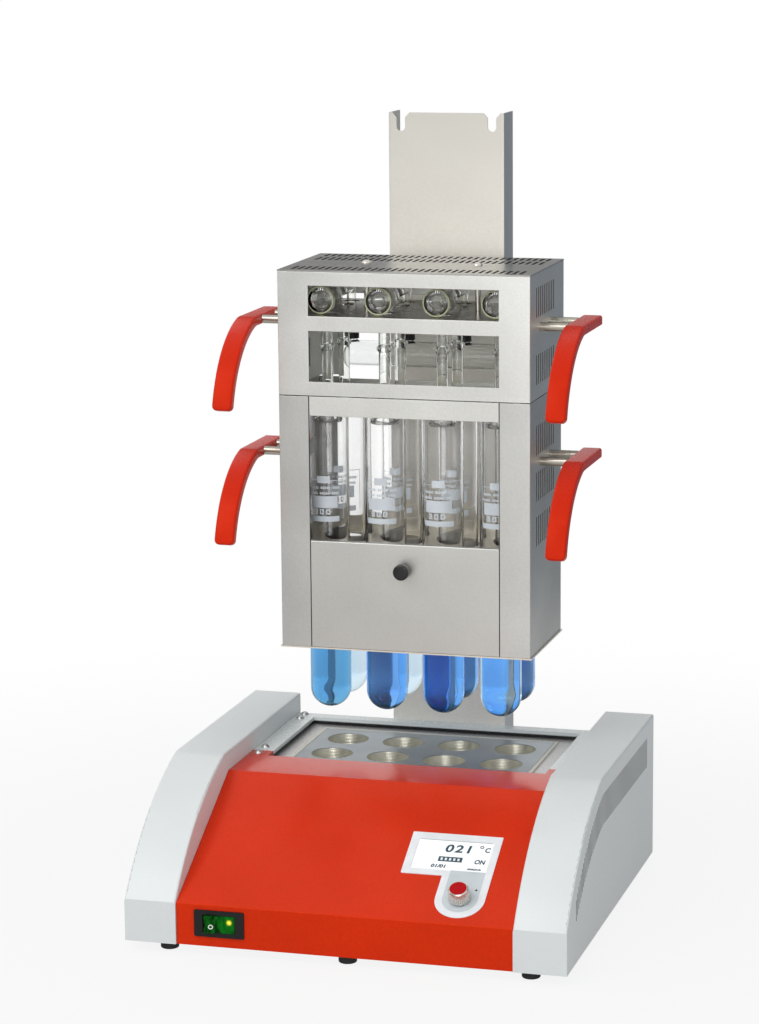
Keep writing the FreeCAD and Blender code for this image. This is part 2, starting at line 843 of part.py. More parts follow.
def switch_frame():
    x, z = switch_centre_x, switch_centre_z
    half_w, half_h = switch_frame_width / 2, switch_frame_height / 2
    flange = box(x - half_w, x + half_w, front_band_y - switch_frame_proud, front_band_y,
                 z - half_h, z + half_h)
    flange = softened(flange, switch_frame_radius, lambda edge: runs_along(edge, V(0, 1, 0)))
    body_w, body_h = switch_body_half()
    body = box(x - body_w, x + body_w, front_band_y, front_band_y + switch_body_depth,
               z - body_h, z + body_h)
    pocket_w = rocker_length / 2 + rocker_pocket_gap
    pocket_h = rocker_height / 2 + rocker_side_gap
    floor_y = rocker_pivot_y() + rocker_hub_radius + seat_gap
    pocket = box(x - pocket_w, x + pocket_w, front_band_y - overrun, floor_y,
                 z - pocket_h, z + pocket_h)
    pins = rod(2 * (rocker_pin_radius + running_gap),
               V(x, rocker_pivot_y(), z - pocket_h - rocker_pin_length),
               V(x, rocker_pivot_y(), z + pocket_h + rocker_pin_length))
    return fuse(flange, body).cut([pocket, pins])


def rocker_pivot_y():
    return front_band_y - switch_frame_proud + rocker_pivot_depth


def power_rocker():
    """Rocker with a dished front, stored with its right-hand end pressed."""
    half = rocker_length / 2
    low, high = switch_centre_z - rocker_height / 2, switch_centre_z + rocker_height / 2
    outline = [V(-half, -rocker_end_rise, low), V(0, -rocker_mid_rise, low),
               V(half, -rocker_end_rise, low), V(half, -rocker_back, low),
               V(-half, -rocker_back, low)]
    body = Part.Face(Part.makePolygon(outline + outline[:1])).extrude(V(0, 0, high - low))
    hub = rod(2 * rocker_hub_radius, V(0, 0, low), V(0, 0, high))
    pins = rod(2 * rocker_pin_radius, V(0, 0, low - rocker_pin_length),
               V(0, 0, high + rocker_pin_length))
    rocker = fuse(body, hub, pins)
    rocker.rotate(V(0, 0, 0), V(0, 0, 1), rocker_tilt)
    rocker.translate(V(switch_centre_x, rocker_pivot_y(), 0))
    return rocker


def rear_panel():
    """Plain back with a field of air slots on each side of the mast."""
    panel = box(-deck_half_width, deck_half_width, deck_back_y - panel_wall, deck_back_y,
                foot_height, deck_height - panel_wall)
    cuts = mast_screw_holes()
    for index in range(rear_slot_count):
        end = deck_half_width - rear_slot_inset - index * rear_slot_pitch
        cuts += both_sides(box(end - rear_slot_width, end, deck_back_y - overrun,
                               deck_back_y + overrun, rear_slot_low,
                               rear_slot_low + rear_slot_height))
    half_w, half_h = inlet_body_width / 2 + inlet_fit, inlet_body_height / 2 + inlet_fit
    cuts.append(box(inlet_x - half_w, inlet_x + half_w, deck_back_y - overrun,
                    deck_back_y + overrun, inlet_z - half_h, inlet_z + half_h))
    return panel.cut(cuts)


def power_inlet():
    """Mains inlet: flange on the rear panel, body inside, socket open to the back."""
    half_w, half_h = inlet_width / 2, inlet_height / 2
    flange = box(inlet_x - half_w, inlet_x + half_w, deck_back_y, deck_back_y + inlet_flange,
                 inlet_z - half_h, inlet_z + half_h)
    flange = softened(flange, inlet_corner, lambda edge: runs_along(edge, V(0, 1, 0)))
    body_w, body_h = inlet_body_width / 2, inlet_body_height / 2
    back = deck_back_y + inlet_flange
    body = box(inlet_x - body_w, inlet_x + body_w, deck_back_y - inlet_body_depth, deck_back_y,
               inlet_z - body_h, inlet_z + body_h)
    sock_w, sock_h = inlet_socket_width / 2, inlet_socket_height / 2
    floor_y = back - inlet_socket_depth
    socket = box(inlet_x - sock_w, inlet_x + sock_w, floor_y, back + overrun,
                 inlet_z - sock_h, inlet_z + sock_h)
    shell = fuse(flange, body).cut(socket)
    pins = []
    for place in (-1, 0, 1):
        x = inlet_x + place * inlet_pin_spacing
        z = inlet_z - (1 - abs(place)) * inlet_pin_height + inlet_pin_height / 2
        pins.append(box(x - inlet_pin_height / 2, x + inlet_pin_height / 2, floor_y,
                        floor_y + inlet_pin_length, z - inlet_pin_width / 2,
                        z + inlet_pin_width / 2))
    return fuse(shell, *pins)


def mast_screw_holes():
    return [rod(mast_screw_diameter + 2 * seat_gap, V(x, deck_back_y - overrun, z),
                V(x, deck_back_y + mast_wall + overrun, z))
            for x in (-mast_screw_x, mast_screw_x) for z in mast_screw_zs]


def mast():
    """Tall channel, open to the back, with two flared hanging notches in its top edge."""
    half = mast_half_width
    path = [(-half, mast_back), (-half, mast_front), (half, mast_front), (half, mast_back)]
    channel = folded_sheet(path[::-1], mast_wall, in_xy(mast_low), V(0, 0, mast_top - mast_low))
    channel = softened(channel, bend_radius, lambda edge: runs_along(edge, V(0, 0, 1))
                       and edge.Vertexes[0].Point.y < mast_front + bend_radius
                       and abs(edge.Vertexes[0].Point.x) > half - bend_radius)
    front, run = mast_front - overrun, V(0, mast_wall + 2 * overrun, 0)
    notch_low = mast_top - notch_depth + notch_width / 2
    cuts = []
    for side in (-1, 1):
        x = side * notch_x
        slot = box(x - notch_width / 2, x + notch_width / 2, front, front + run.y,
                   notch_low, mast_top + overrun)
        bottom = rod(notch_width, V(x, front, notch_low), V(x, front + run.y, notch_low))
        throat = mast_top - notch_flare_depth
        corners = [V(x - notch_mouth / 2, front, mast_top), V(x + notch_mouth / 2, front, mast_top),
                   V(x + notch_width / 2, front, throat), V(x - notch_width / 2, front, throat)]
        flare = Part.Face(Part.makePolygon(corners + corners[:1])).extrude(run)
        cuts += [slot, bottom, flare]
    return channel.cut(cuts + mast_screw_holes())


def mast_screws():
    screws = []
    for x in (-mast_screw_x, mast_screw_x):
        for z in mast_screw_zs:
            screw = dome_screw(2 * mast_screw_diameter, screw_head_height, mast_screw_diameter,
                               screw_shank_length)
            screw.rotate(V(0, 0, 0), V(1, 0, 0), -90)
            screw.translate(V(x, mast_front + mast_wall, z))
            screws.append(screw)
    return Part.makeCompound(screws)


def louvre_slots(low):
    """Row of upright slots through the right-hand wall of a box."""
    start = box_front_y + louvre_front_inset
    pitch = (louvre_width - louvre_slot_width) / (louvre_slot_count - 1)
    return [box(box_inner - overrun, box_half_width + overrun, start + index * pitch,
                start + index * pitch + louvre_slot_width, low, low + louvre_height)
            for index in range(louvre_slot_count)]


def rack_side():
    """Right-hand side: wall, front upright and rear strip of one folded sheet."""
    low, high = rack_low + box_wall, rack_top
    path = [(upright_inner, box_front_y), (box_half_width, box_front_y),
            (box_half_width, rack_back_y), (box_half_width - rear_strip_width, rack_back_y)]
    sheet = folded_sheet(path[::-1], box_wall, in_xy(low), V(0, 0, high - low))
    sheet = softened(sheet, bend_radius, lambda edge: is_box_corner(edge, rack_back_y))
    guide_y = box_front_y + box_wall
    guide_x = upright_inner + guide_width
    guide = folded_sheet([(upright_inner + bottom_lip, guide_y + guide_depth),
                          (guide_x, guide_y + guide_depth), (guide_x, guide_y)],
                         -box_wall, in_xy(low), V(0, 0, tray_low - low - seat_gap))
    side = fuse(sheet, guide)
    cuts = []
    for rise in rack_louvre_rises:
        cuts += louvre_slots(rack_low + rise)
    return side.cut(cuts)


def is_box_corner(edge, back_y):
    """Outer upright corners of a box, at its front and at its back."""
    if not runs_along(edge, V(0, 0, 1)):
        return False
    point = edge.Vertexes[0].Point
    at_side = abs(abs(point.x) - box_half_width) < bend_radius / 3
    return at_side and (abs(point.y - box_front_y) < bend_radius / 3
                        or abs(point.y - back_y) < bend_radius / 3)


def rack_tray():
    """Top tray that carries the tube rims; its front fold is the header bar."""
    half = upright_inner - slide_gap
    path = [(box_front_y, rack_top), (box_front_y, tray_low),
            (rack_back_y - box_wall, tray_low), (rack_back_y - box_wall, rack_top - box_wall)]
    front = folded_sheet(path, -box_wall, in_yz(-half), V(2 * half, 0, 0))
    rear_front = rack_back_y - 2 * box_wall
    wide = box(-box_inner, box_inner, box_front_y + box_wall + bottom_lip, rear_front,
               tray_low, rim_low)
    rear = box(-tray_rear_half_width, tray_rear_half_width, rear_front,
               rack_back_y - box_wall, tray_low, rack_top - box_wall)
    holes = round_holes(tube_diameter + tray_hole_room, tray_low - overrun, rim_low + overrun,
                        places)
    return fuse(front, wide, rear).cut(holes)


def tube_plate():
    low = tube_plate_height - box_wall
    back = rack_back_y - box_wall
    front = box_front_y + 2 * box_wall + guide_depth + box_wall + slide_gap
    plate = box(-box_inner, box_inner, front, back, low, tube_plate_height)
    upstand = box(-box_inner, box_inner, back - box_wall, back, low,
                  low + tube_plate_upstand)
    holes = round_holes(tube_diameter + tube_plate_hole_room, low - overrun,
                        tube_plate_height + overrun, places)
    return fuse(plate, upstand).cut(holes)


def bottom_plate():
    half = box_half_width + bottom_lip
    plate = box(-half, half, box_front_y, rack_back_y, rack_low, rack_low + box_wall)
    holes = round_holes(tube_diameter + bottom_hole_room, rack_low - overrun,
                        rack_low + overrun, places)
    return plate.cut(holes)


def revolved_about(axis_x, axis_y, outline):
    """Closed outline of radius and height pairs turned about an upright axis."""
    points = [V(axis_x + r, axis_y, z) for r, z in outline]
    face = Part.Face(Part.makePolygon(points + points[:1]))
    return face.revolve(V(axis_x, axis_y, 0), V(0, 0, 1), 360)


def round_bottomed(x, y, radius, low, high):
    cylinder = Part.makeCylinder(radius, high - low - radius, V(x, y, low + radius))
    return fuse(cylinder, Part.makeSphere(radius, V(x, y, low + radius)))


def sample_tube(x, y):
    radius = tube_diameter / 2
    top = rim_low + seat_gap + tube_rim_height
    outer = round_bottomed(x, y, radius, tube_low, top)
    rim = upright_rod(tube_rim_diameter, x, y, top - tube_rim_height, top)
    inner = round_bottomed(x, y, radius - tube_wall, tube_low + tube_wall, top + overrun)
    return fuse(outer, rim).cut(inner)


def sample_liquids():
    radius = tube_diameter / 2 - tube_wall - liquid_fit
    return Part.makeCompound([round_bottomed(x, y, radius, tube_low + tube_wall + liquid_fit,
                                             liquid_level) for x, y in places])


def front_shield():
    """Splash shield: flat plate, folded top edge, tongues that run behind the uprights."""
    half = upright_inner - shield_side_gap
    low = rack_low + box_wall + slide_gap
    y = box_front_y
    tongue_y = y + box_wall + slide_gap
    plate = box(-half, half, y, y + box_wall, low, shield_top)
    fold = box(-half, half, y, y + shield_top_fold, shield_top - box_wall, shield_top)
    jog = box(half - box_wall, half, y, tongue_y + box_wall, low, shield_top)
    tongue = box(half - box_wall, half + shield_tongue_width, tongue_y, tongue_y + box_wall,
                 low, shield_top)
    shield = fuse(plate, fold, *both_sides(jog), *both_sides(tongue))
    shield = softened(shield, bend_radius, lambda edge: runs_along(edge, V(1, 0, 0))
                      and edge.BoundBox.ZMin > shield_top - seat_gap
                      and edge.BoundBox.YMax < box_front_y + seat_gap)
    hole = rod(shield_stud_diameter + 2 * seat_gap, V(0, y - overrun, shield_knob_height),
               V(0, y + overrun, shield_knob_height))
    return shield.cut(hole)


def shield_knob():
    z = shield_knob_height
    neck_y = box_front_y - shield_knob_neck
    front_y = neck_y - shield_knob_length
    head = rod(shield_knob_diameter, V(0, neck_y, z), V(0, front_y, z))
    head = softened(head, shield_knob_edge, lambda edge: edge.BoundBox.YLength < match)
    neck = rod(shield_knob_neck_diameter, V(0, neck_y, z), V(0, box_front_y, z))
    stud_end = box_front_y + box_wall
    stud = rod(shield_stud_diameter, V(0, neck_y, z), V(0, stud_end, z))
    nut = rod(shield_stud_head, V(0, stud_end, z), V(0, stud_end + shield_stud_head_height, z))
    return fuse(head, neck, stud, nut)


def rack_carriage():
    """Guide that wraps the mast: back plate on the rack, webs, arms and rear lips."""
    inner = mast_half_width + slide_gap
    outer = inner + carriage_wall
    face_y = mast_front - slide_gap
    plate_y = rack_back_y + carriage_plate_wall
    height = carriage_high - carriage_low
    wrap = [(mast_half_width - carriage_lip_reach, carriage_back), (outer, carriage_back),
            (outer, face_y - carriage_wall), (0, face_y - carriage_wall)]
    arm = folded_sheet(wrap[::-1], -carriage_wall, in_xy(carriage_low), V(0, 0, height))
    tongue = box(-carriage_tongue_half, carriage_tongue_half, face_y - carriage_wall, face_y,
                 carriage_low, carriage_tongue_top)
    plate = box(-carriage_plate_half, carriage_plate_half, rack_back_y, plate_y,
                carriage_low, carriage_high)
    web = box(carriage_web_half, carriage_web_half + carriage_wall, rack_back_y,
              face_y - carriage_wall / 2, carriage_low, carriage_high)
    return fuse(plate, tongue, *both_sides(arm), *both_sides(web))


def handle(rod_z):
    """Right-hand handle: flat bar on top that folds into a long curve to the front."""
    top = rod_z + handle_thickness / 2
    fold = V(0, handle_fold_y, top)
    end = V(0, handle_end_y, top - handle_drop)
    chord = fold - end
    out = V(0, -chord.z, chord.y).normalize()
    radius = (chord.Length ** 2 / 4 + handle_sagitta ** 2) / (2 * handle_sagitta)
    centre = (fold + end) * 0.5 - out * (radius - handle_sagitta)
    inner = radius - handle_thickness
    under = top - handle_thickness
    inner_fold = V(0, centre.y - math.sqrt(inner ** 2 - (under - centre.z) ** 2), under)
    inner_end = centre + (end - centre).normalize() * inner
    inner_mid = centre + out * inner
    back_top = V(0, handle_back_y, top)
    back_under = V(0, handle_back_y, under)
    outline = [Part.makeLine(back_top, fold),
               Part.Arc(fold, centre + out * radius, end).toShape(),
               Part.makeLine(end, inner_end),
               Part.Arc(inner_end, inner_mid, inner_fold).toShape(),
               Part.makeLine(inner_fold, back_under), Part.makeLine(back_under, back_top)]
    bar = Part.Face(Part.Wire(outline)).extrude(V(handle_width, 0, 0))
    bar.translate(V(handle_inner_x, 0, 0))
    bar = softened(bar, handle_fold_radius, is_handle_fold)
    bar = softened(bar, handle_corner_radius, lambda edge: is_handle_tip(edge, end, inner_end))
    bar = softened(bar, handle_tip_radius, lambda edge: is_handle_lip(edge, end))
    return softened(bar, handle_edge_radius, is_handle_rim)


def is_handle_fold(edge):
    """Edges across the bar where its flat top runs into the curve."""
    y = edge.BoundBox.Center.y
    inside = handle_end_y + 2 * handle_thickness < y < handle_back_y - handle_thickness
    return runs_along(edge, V(1, 0, 0)) and inside


def is_handle_tip(edge, end, inner_end):
    """The two short edges through the bar's thickness at its lower end."""
    middle = (end + inner_end) * 0.5
    spot = edge.BoundBox.Center
    near = math.hypot(spot.y - middle.y, spot.z - middle.z) < handle_thickness / 3
    return edge.BoundBox.XLength < match and near


def is_handle_lip(edge, end):
    """The straight edge at the front of the bar's lower end, with its two corner arcs."""
    points = [vertex.Point for vertex in edge.Vertexes]
    return all(math.hypot(point.y - end.y, point.z - end.z) < match for point in points)


def is_handle_rim(edge):
    """Long outer edges along both sides of the bar, its curve included."""
    sides = (handle_inner_x, handle_inner_x + handle_width)
    flat = edge.BoundBox.XLength < match
    on_side = any(abs(edge.BoundBox.Center.x - x) < match for x in sides)
    at_back = edge.BoundBox.YMin > handle_back_y - match
    return flat and on_side and not at_back


def handle_rods(rod_z):
    rods = []
    for y in rod_ys:
        bar = rod(rod_diameter, V(box_half_width, y, rod_z), V(handle_inner_x, y, rod_z))
        rods += both_sides(bar)
    return Part.makeCompound(rods)


def hood_shell():
    """Front with two windows, both sides, rear strips and top rail of one sheet."""
    low = rack_top + slide_gap
    high = hood_top - box_wall
    half = box_half_width
    outer = box(-half, half, box_front_y, hood_back_y, low, high)
    outer = softened(outer, bend_radius, lambda edge: is_box_corner(edge, hood_back_y))
    cuts = [box(-box_inner, box_inner, box_front_y + box_wall, hood_back_y - box_wall,
                low - overrun, high + overrun)]
    rear_half = half - hood_rear_strip
    cuts.append(box(-rear_half, rear_half, hood_back_y - box_wall - overrun,
                    hood_back_y + overrun, low - overrun, hood_rear_rail_low))
    for window_low, window_high in (window_one, window_two):
        cuts.append(box(-hood_window_half, hood_window_half, box_front_y - overrun,
                        box_front_y + box_wall + overrun, window_low, window_high))
    for rise in hood_louvre_rises:
        field = louvre_slots(rack_top + rise)
        cuts += field + [mirrored(slot) for slot in field]
    return outer.cut(cuts)


def hood_cover():
    """Slotted top plate: one row of slots at the front, two at the back."""
    half = box_half_width
    plate = box(-half, half, box_front_y, hood_back_y, hood_top - box_wall, hood_top)
    cuts = []
    for index in range(top_slot_count):
        x = (index - (top_slot_count - 1) / 2) * top_slot_pitch
        for inset, length in zip(top_slot_insets, top_slot_lengths):
            start = box_front_y + inset
            cuts.append(box(x - top_slot_width / 2, x + top_slot_width / 2, start,
                            start + length, hood_top - overrun, hood_top + overrun))
    for x in (-post_x, post_x):
        cuts.append(upright_rod(post_diameter + 2 * seat_gap, x, post_y, hood_top - overrun,
                                hood_top + overrun))
    return plate.cut(cuts)


def hood_shelf():
    inner = box_inner - running_gap
    plate = box(-inner, inner, box_front_y + box_wall + running_gap,
                hood_back_y - box_wall - running_gap, shelf_low, shelf_height)
    holes = round_holes(shelf_hole_diameter, shelf_low - overrun, shelf_height + overrun, places)
    holes += round_holes(outlet_hole_diameter, shelf_low - overrun, shelf_height + overrun,
                         [(x, outlet_y) for x in column_xs])
    return plate.cut(holes)


def hood_posts():
    posts = []
    for x in (-post_x, post_x):
        screw = dome_screw(post_head_diameter, post_head_height, post_diameter,
                           hood_top - shelf_height)
        screw.translate(V(x, post_y, hood_top))
        posts.append(screw)
    return Part.makeCompound(posts)


def hanging_studs():
    """Grooved studs on the rear top rail; the mast notches take their necks."""
    studs = []
    for x in (-notch_x, notch_x):
        start, end = hood_back_y, hood_back_y + stud_length
        body = rod(stud_diameter, V(x, start, stud_z), V(x, end, stud_z))
        groove = rod(stud_diameter + overrun, V(x, end - 2 * stud_groove, stud_z),
                     V(x, end - stud_groove, stud_z))
        neck = rod(stud_neck_diameter, V(x, start, stud_z), V(x, end, stud_z))
        studs.append(fuse(body.cut(groove), neck))
    return Part.makeCompound(studs)


def head_form(x, shrink):
    """Outer or inner form of one glass head pair: two stems, bulb, neck and outlet."""
    radius = stem_diameter / 2 - shrink
    skirt = skirt_diameter / 2 - shrink
    bead = bead_diameter / 2 - shrink
    reach = overrun if shrink else 0
    parts = []
    for y in row_ys:
        outline = [(0, skirt_low - reach), (skirt, skirt_low - reach),
                   (skirt, skirt_low + skirt_ring_height), (radius, skirt_taper_top),
                   (radius, bead_z - bead_height / 2), (bead, bead_z),
                   (radius, bead_z + bead_height / 2), (radius, bulb_z), (0, bulb_z)]
        parts.append(revolved_about(x, y, outline))
    parts.append(bulb_form(x, shrink))
    neck = neck_diameter / 2 - shrink
    parts.append(Part.makeCylinder(neck, outlet_y - bulb_waist_y, V(x, bulb_waist_y, bulb_z),
                                   V(0, 1, 0)))
    parts.append(Part.makeSphere(neck, V(x, outlet_y, bulb_z)))
    parts.append(upright_rod(2 * neck, x, outlet_y, outlet_bottom - reach, bulb_z))
    return fuse(parts[0], *parts[1:])


def bulb_form(x, shrink):
    """Round-nosed bulb that lies on the shelf and tapers back to the neck."""
    radius = bulb_diameter / 2 - shrink
    neck = neck_diameter / 2 - shrink
    front = bulb_front_y + shrink
    nose = Part.Arc(V(x, front, bulb_z),
                    V(x, front + (bulb_nose - shrink) * (1 - math.cos(math.radians(45))),
                      bulb_z + radius * math.sin(math.radians(45))),
                    V(x, front + bulb_nose - shrink, bulb_z + radius)).toShape()
    lines = [nose,
             Part.makeLine(V(x, bulb_front_y + bulb_nose, bulb_z + radius),
                           V(x, bulb_shoulder_y, bulb_z + radius)),
             Part.makeLine(V(x, bulb_shoulder_y, bulb_z + radius),
                           V(x, bulb_waist_y, bulb_z + neck)),
             Part.makeLine(V(x, bulb_waist_y, bulb_z + neck), V(x, bulb_waist_y, bulb_z)),
             Part.makeLine(V(x, bulb_waist_y, bulb_z), V(x, front, bulb_z))]
    return Part.Face(Part.Wire(lines)).revolve(V(x, 0, bulb_z), V(0, 1, 0), 360)


def glass_head(x):
    return head_form(x, 0).cut(head_form(x, glass_wall))


def manifold():
    """Collecting tube under the shelf: closed ends, four necks and a rear hose nozzle."""
    def form(shrink):
        radius = manifold_diameter / 2 - shrink
        start = V(manifold_left_x + shrink, outlet_y, manifold_z)
        length = manifold_right_x - manifold_left_x - 2 * shrink
        tube = Part.makeCylinder(radius, length, start, V(1, 0, 0))
        tube = softened(tube, manifold_end_radius - shrink,
                        lambda edge: edge.BoundBox.XLength < match)
        reach = overrun if shrink else 0
        necks = [upright_rod(neck_diameter - 2 * shrink, x, outlet_y, manifold_z,
                             manifold_neck_top + reach) for x in column_xs]
        end = outlet_y + manifold_diameter / 2 + nozzle_length
        nozzle = rod(nozzle_diameter - 2 * shrink, V(nozzle_x, outlet_y, manifold_z),
                     V(nozzle_x, end + reach, manifold_z))
        return fuse(tube, nozzle, *necks)
    # the thick foot gives the nozzle a flat shoulder where a hose stops
    shoulder_y = outlet_y + manifold_diameter / 2 + nozzle_foot_length
    foot = rod(nozzle_diameter + 2 * nozzle_foot_wall, V(nozzle_x, outlet_y, manifold_z),
               V(nozzle_x, shoulder_y, manifold_z))
    return fuse(form(0), foot).cut(form(glass_wall))


def manifold_sleeves():
    sleeves = []
    for x in column_xs:
        outer = upright_rod(neck_diameter + 2 * sleeve_wall, x, outlet_y, sleeve_low, sleeve_high)
        inner = upright_rod(neck_diameter + 2 * sleeve_fit, x, outlet_y, sleeve_low - overrun,
                            sleeve_high + overrun)
        sleeves.append(outer.cut(inner))
    return Part.makeCompound(sleeves)


def all_nodes():
    nodes = {
        "base_pan": base_pan(),
        "right_side_cover": side_cover(),
        "left_side_cover": mirrored(side_cover()),
        "front_cover": front_cover(),
        "deck_frame": deck_frame(),
        "deck_screws": deck_screws(),
        "block_surround": block_surround(),
        "block_seal": block_seal(),
        "heating_block": heating_block(),
        "heater_plate": block_box(0, block_low - heater_thickness, block_low),
        "insulation_slab": block_box(0, foot_height + pan_wall, block_low - heater_thickness),
        "temperature_sensor": temperature_sensor(),
        "control_board": control_board(),
        "display_bezel": bezel(),
        "display_screen": display_screen(),
        "encoder_body": encoder_body(),
        "encoder_shaft": encoder_shaft(),
        "selector_knob": selector_knob(),
        "knob_cap": knob_cap(),
        "switch_frame": switch_frame(),
        "power_rocker": power_rocker(),
        "rear_panel": rear_panel(),
        "power_inlet": power_inlet(),
        "feet": feet(),
        "mast": mast(),
        "mast_screws": mast_screws(),
        "rack_right_side": rack_side(),
        "rack_left_side": mirrored(rack_side()),
        "rack_tray": rack_tray(),
        "tube_plate": tube_plate(),
        "bottom_plate": bottom_plate(),
        "rack_carriage": rack_carriage(),
        "sample_liquids": sample_liquids(),
        "lower_right_handle": handle(lower_rod_z),
        "lower_left_handle": mirrored(handle(lower_rod_z)),
        "lower_handle_rods": handle_rods(lower_rod_z),
        "front_shield": front_shield(),
        "shield_knob": shield_knob(),
        "hood_shell": hood_shell(),
        "hood_cover": hood_cover(),
        "hood_shelf": hood_shelf(),
        "hood_posts": hood_posts(),
        "hanging_studs": hanging_studs(),
        "upper_right_handle": handle(upper_rod_z),
        "upper_left_handle": mirrored(handle(upper_rod_z)),
        "upper_handle_rods": handle_rods(upper_rod_z),
        "glass_manifold": manifold(),
        "manifold_sleeves": manifold_sleeves(),
    }
    for index, (x, y) in enumerate(places):
        nodes["sample_tube_%d" % (index + 1)] = sample_tube(x, y)
    for index, x in enumerate(column_xs):
        nodes["glass_head_%d" % (index + 1)] = glass_head(x)
    return nodes


def write_parts():
    os.makedirs("parts", exist_ok=True)
    nodes = all_nodes()
    middle = Part.makeCompound(list(nodes.values())).optimalBoundingBox().Center
    for name, shape in nodes.items():
        placed = shape.translated(V(0, -middle.y, 0))
        placed.exportStep("parts/%s.step" % name)
        print(name, len(placed.Solids), "solid(s), volume", round(placed.Volume))


write_parts()
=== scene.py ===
import bpy
import bmesh
import json
import math
from mathutils import Matrix, Vector

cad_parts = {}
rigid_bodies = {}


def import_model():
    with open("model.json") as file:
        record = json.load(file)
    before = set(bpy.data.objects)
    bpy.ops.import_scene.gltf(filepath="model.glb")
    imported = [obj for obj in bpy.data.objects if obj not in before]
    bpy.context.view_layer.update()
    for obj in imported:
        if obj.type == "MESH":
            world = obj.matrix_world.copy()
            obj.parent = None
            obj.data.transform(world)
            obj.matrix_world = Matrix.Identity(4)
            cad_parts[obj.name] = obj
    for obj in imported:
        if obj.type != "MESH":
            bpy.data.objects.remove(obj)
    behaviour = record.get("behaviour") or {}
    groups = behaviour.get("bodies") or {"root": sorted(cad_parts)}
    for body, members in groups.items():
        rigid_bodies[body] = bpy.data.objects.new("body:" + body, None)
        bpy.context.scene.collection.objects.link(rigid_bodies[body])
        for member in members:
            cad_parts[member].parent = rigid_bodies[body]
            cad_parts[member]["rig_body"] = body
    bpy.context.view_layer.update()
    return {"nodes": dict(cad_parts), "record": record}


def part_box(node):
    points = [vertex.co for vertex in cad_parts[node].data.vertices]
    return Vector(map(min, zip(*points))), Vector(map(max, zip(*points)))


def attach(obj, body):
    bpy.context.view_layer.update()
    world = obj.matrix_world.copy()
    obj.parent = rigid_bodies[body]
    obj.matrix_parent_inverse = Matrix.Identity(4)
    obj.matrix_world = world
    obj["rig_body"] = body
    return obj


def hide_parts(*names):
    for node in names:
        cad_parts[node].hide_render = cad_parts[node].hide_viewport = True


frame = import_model()
nodes = frame["nodes"]

mm = 0.001
full_turn = 2 * math.pi

# Camera, as the photograph was taken
camera_place = Vector((0.8554, -3.0751, 1.0161))
camera_azimuth = 15.926
camera_elevation = 10.878
camera_roll = -0.514
camera_lens = 114.56
camera_sensor = 36.0

# Studio
world_light = 0.62
floor_size = 14.0
floor_grey = 0.62
floor_near = 0.3
glow_far, floor_glow_near = 1.3, 0.87
gloss_far, floor_gloss_near = 2.6, 0.5
# Place, target, size and power of each soft box
soft_boxes = {"key_box": ((-1.25, -2.05, 2.5), (0, 0, 0.3), (2.2, 1.6), 33.0),
              "front_box": ((0.45, -2.6, 1.05), (0, 0, 0.42), (1.2, 0.9), 12.0)}
# Both ends on the floor plan, lowest and highest edge, and colour of each flag
flags = {"right_flag": ((0.20, 1.4), (2.8, 0.2), 0, 1.9, (0.26, 0.30, 0.35, 1)),
         "back_flag": ((-0.9, 1.6), (0.6, 1.4), 0.82, 2.1, (0.2, 0.2, 0.2, 1)),
         "left_flag": ((-1.5, -0.7), (-0.65, -1.6), 0, 0.7, (0.35, 0.35, 0.35, 1))}

# Places shared with the solids, in millimetres
depth_shift = 222.409
column_xs = (-90.0, -30.0, 30.0, 90.0)
row_ys = (273.5 - depth_shift, 333.5 - depth_shift)
tube_radius = 21.0
tube_wall = 1.8
tube_bottom = 186.0
tube_top = 499.3
tube_rim_radius = 23.75
liquid_top = 292.0
liquid_gap = 0.1
slope_angle = math.atan2(140.0 - 51.5, 168.0 - 2.0)
slope_foot = Vector((0, 2.0 - depth_shift, 51.5))
block_top = 135.0
boring_pitch = 1.6
mast_half_width = 61.5
# Top of the painted shadow on the deck's inner wall
shadow_line_height = 136.4
deck_inner_left = -146.0
deck_inner_rear = 170.6
shadow_reach = 14.0
rear_shadow_share = 0.8
lamp_spot = (-112.9, -222.9, 36.1)


def tone(red, green, blue, alpha=1.0):
    """Colour as it is read off a picture, 0 to 255, made linear for the shader."""
    shares = [value / 255 for value in (red, green, blue)]
    linear = [s / 12.92 if s <= 0.04045 else ((s + 0.055) / 1.055) ** 2.4 for s in shares]
    return (*linear, alpha)


noise_range = (0.3, 0.7)


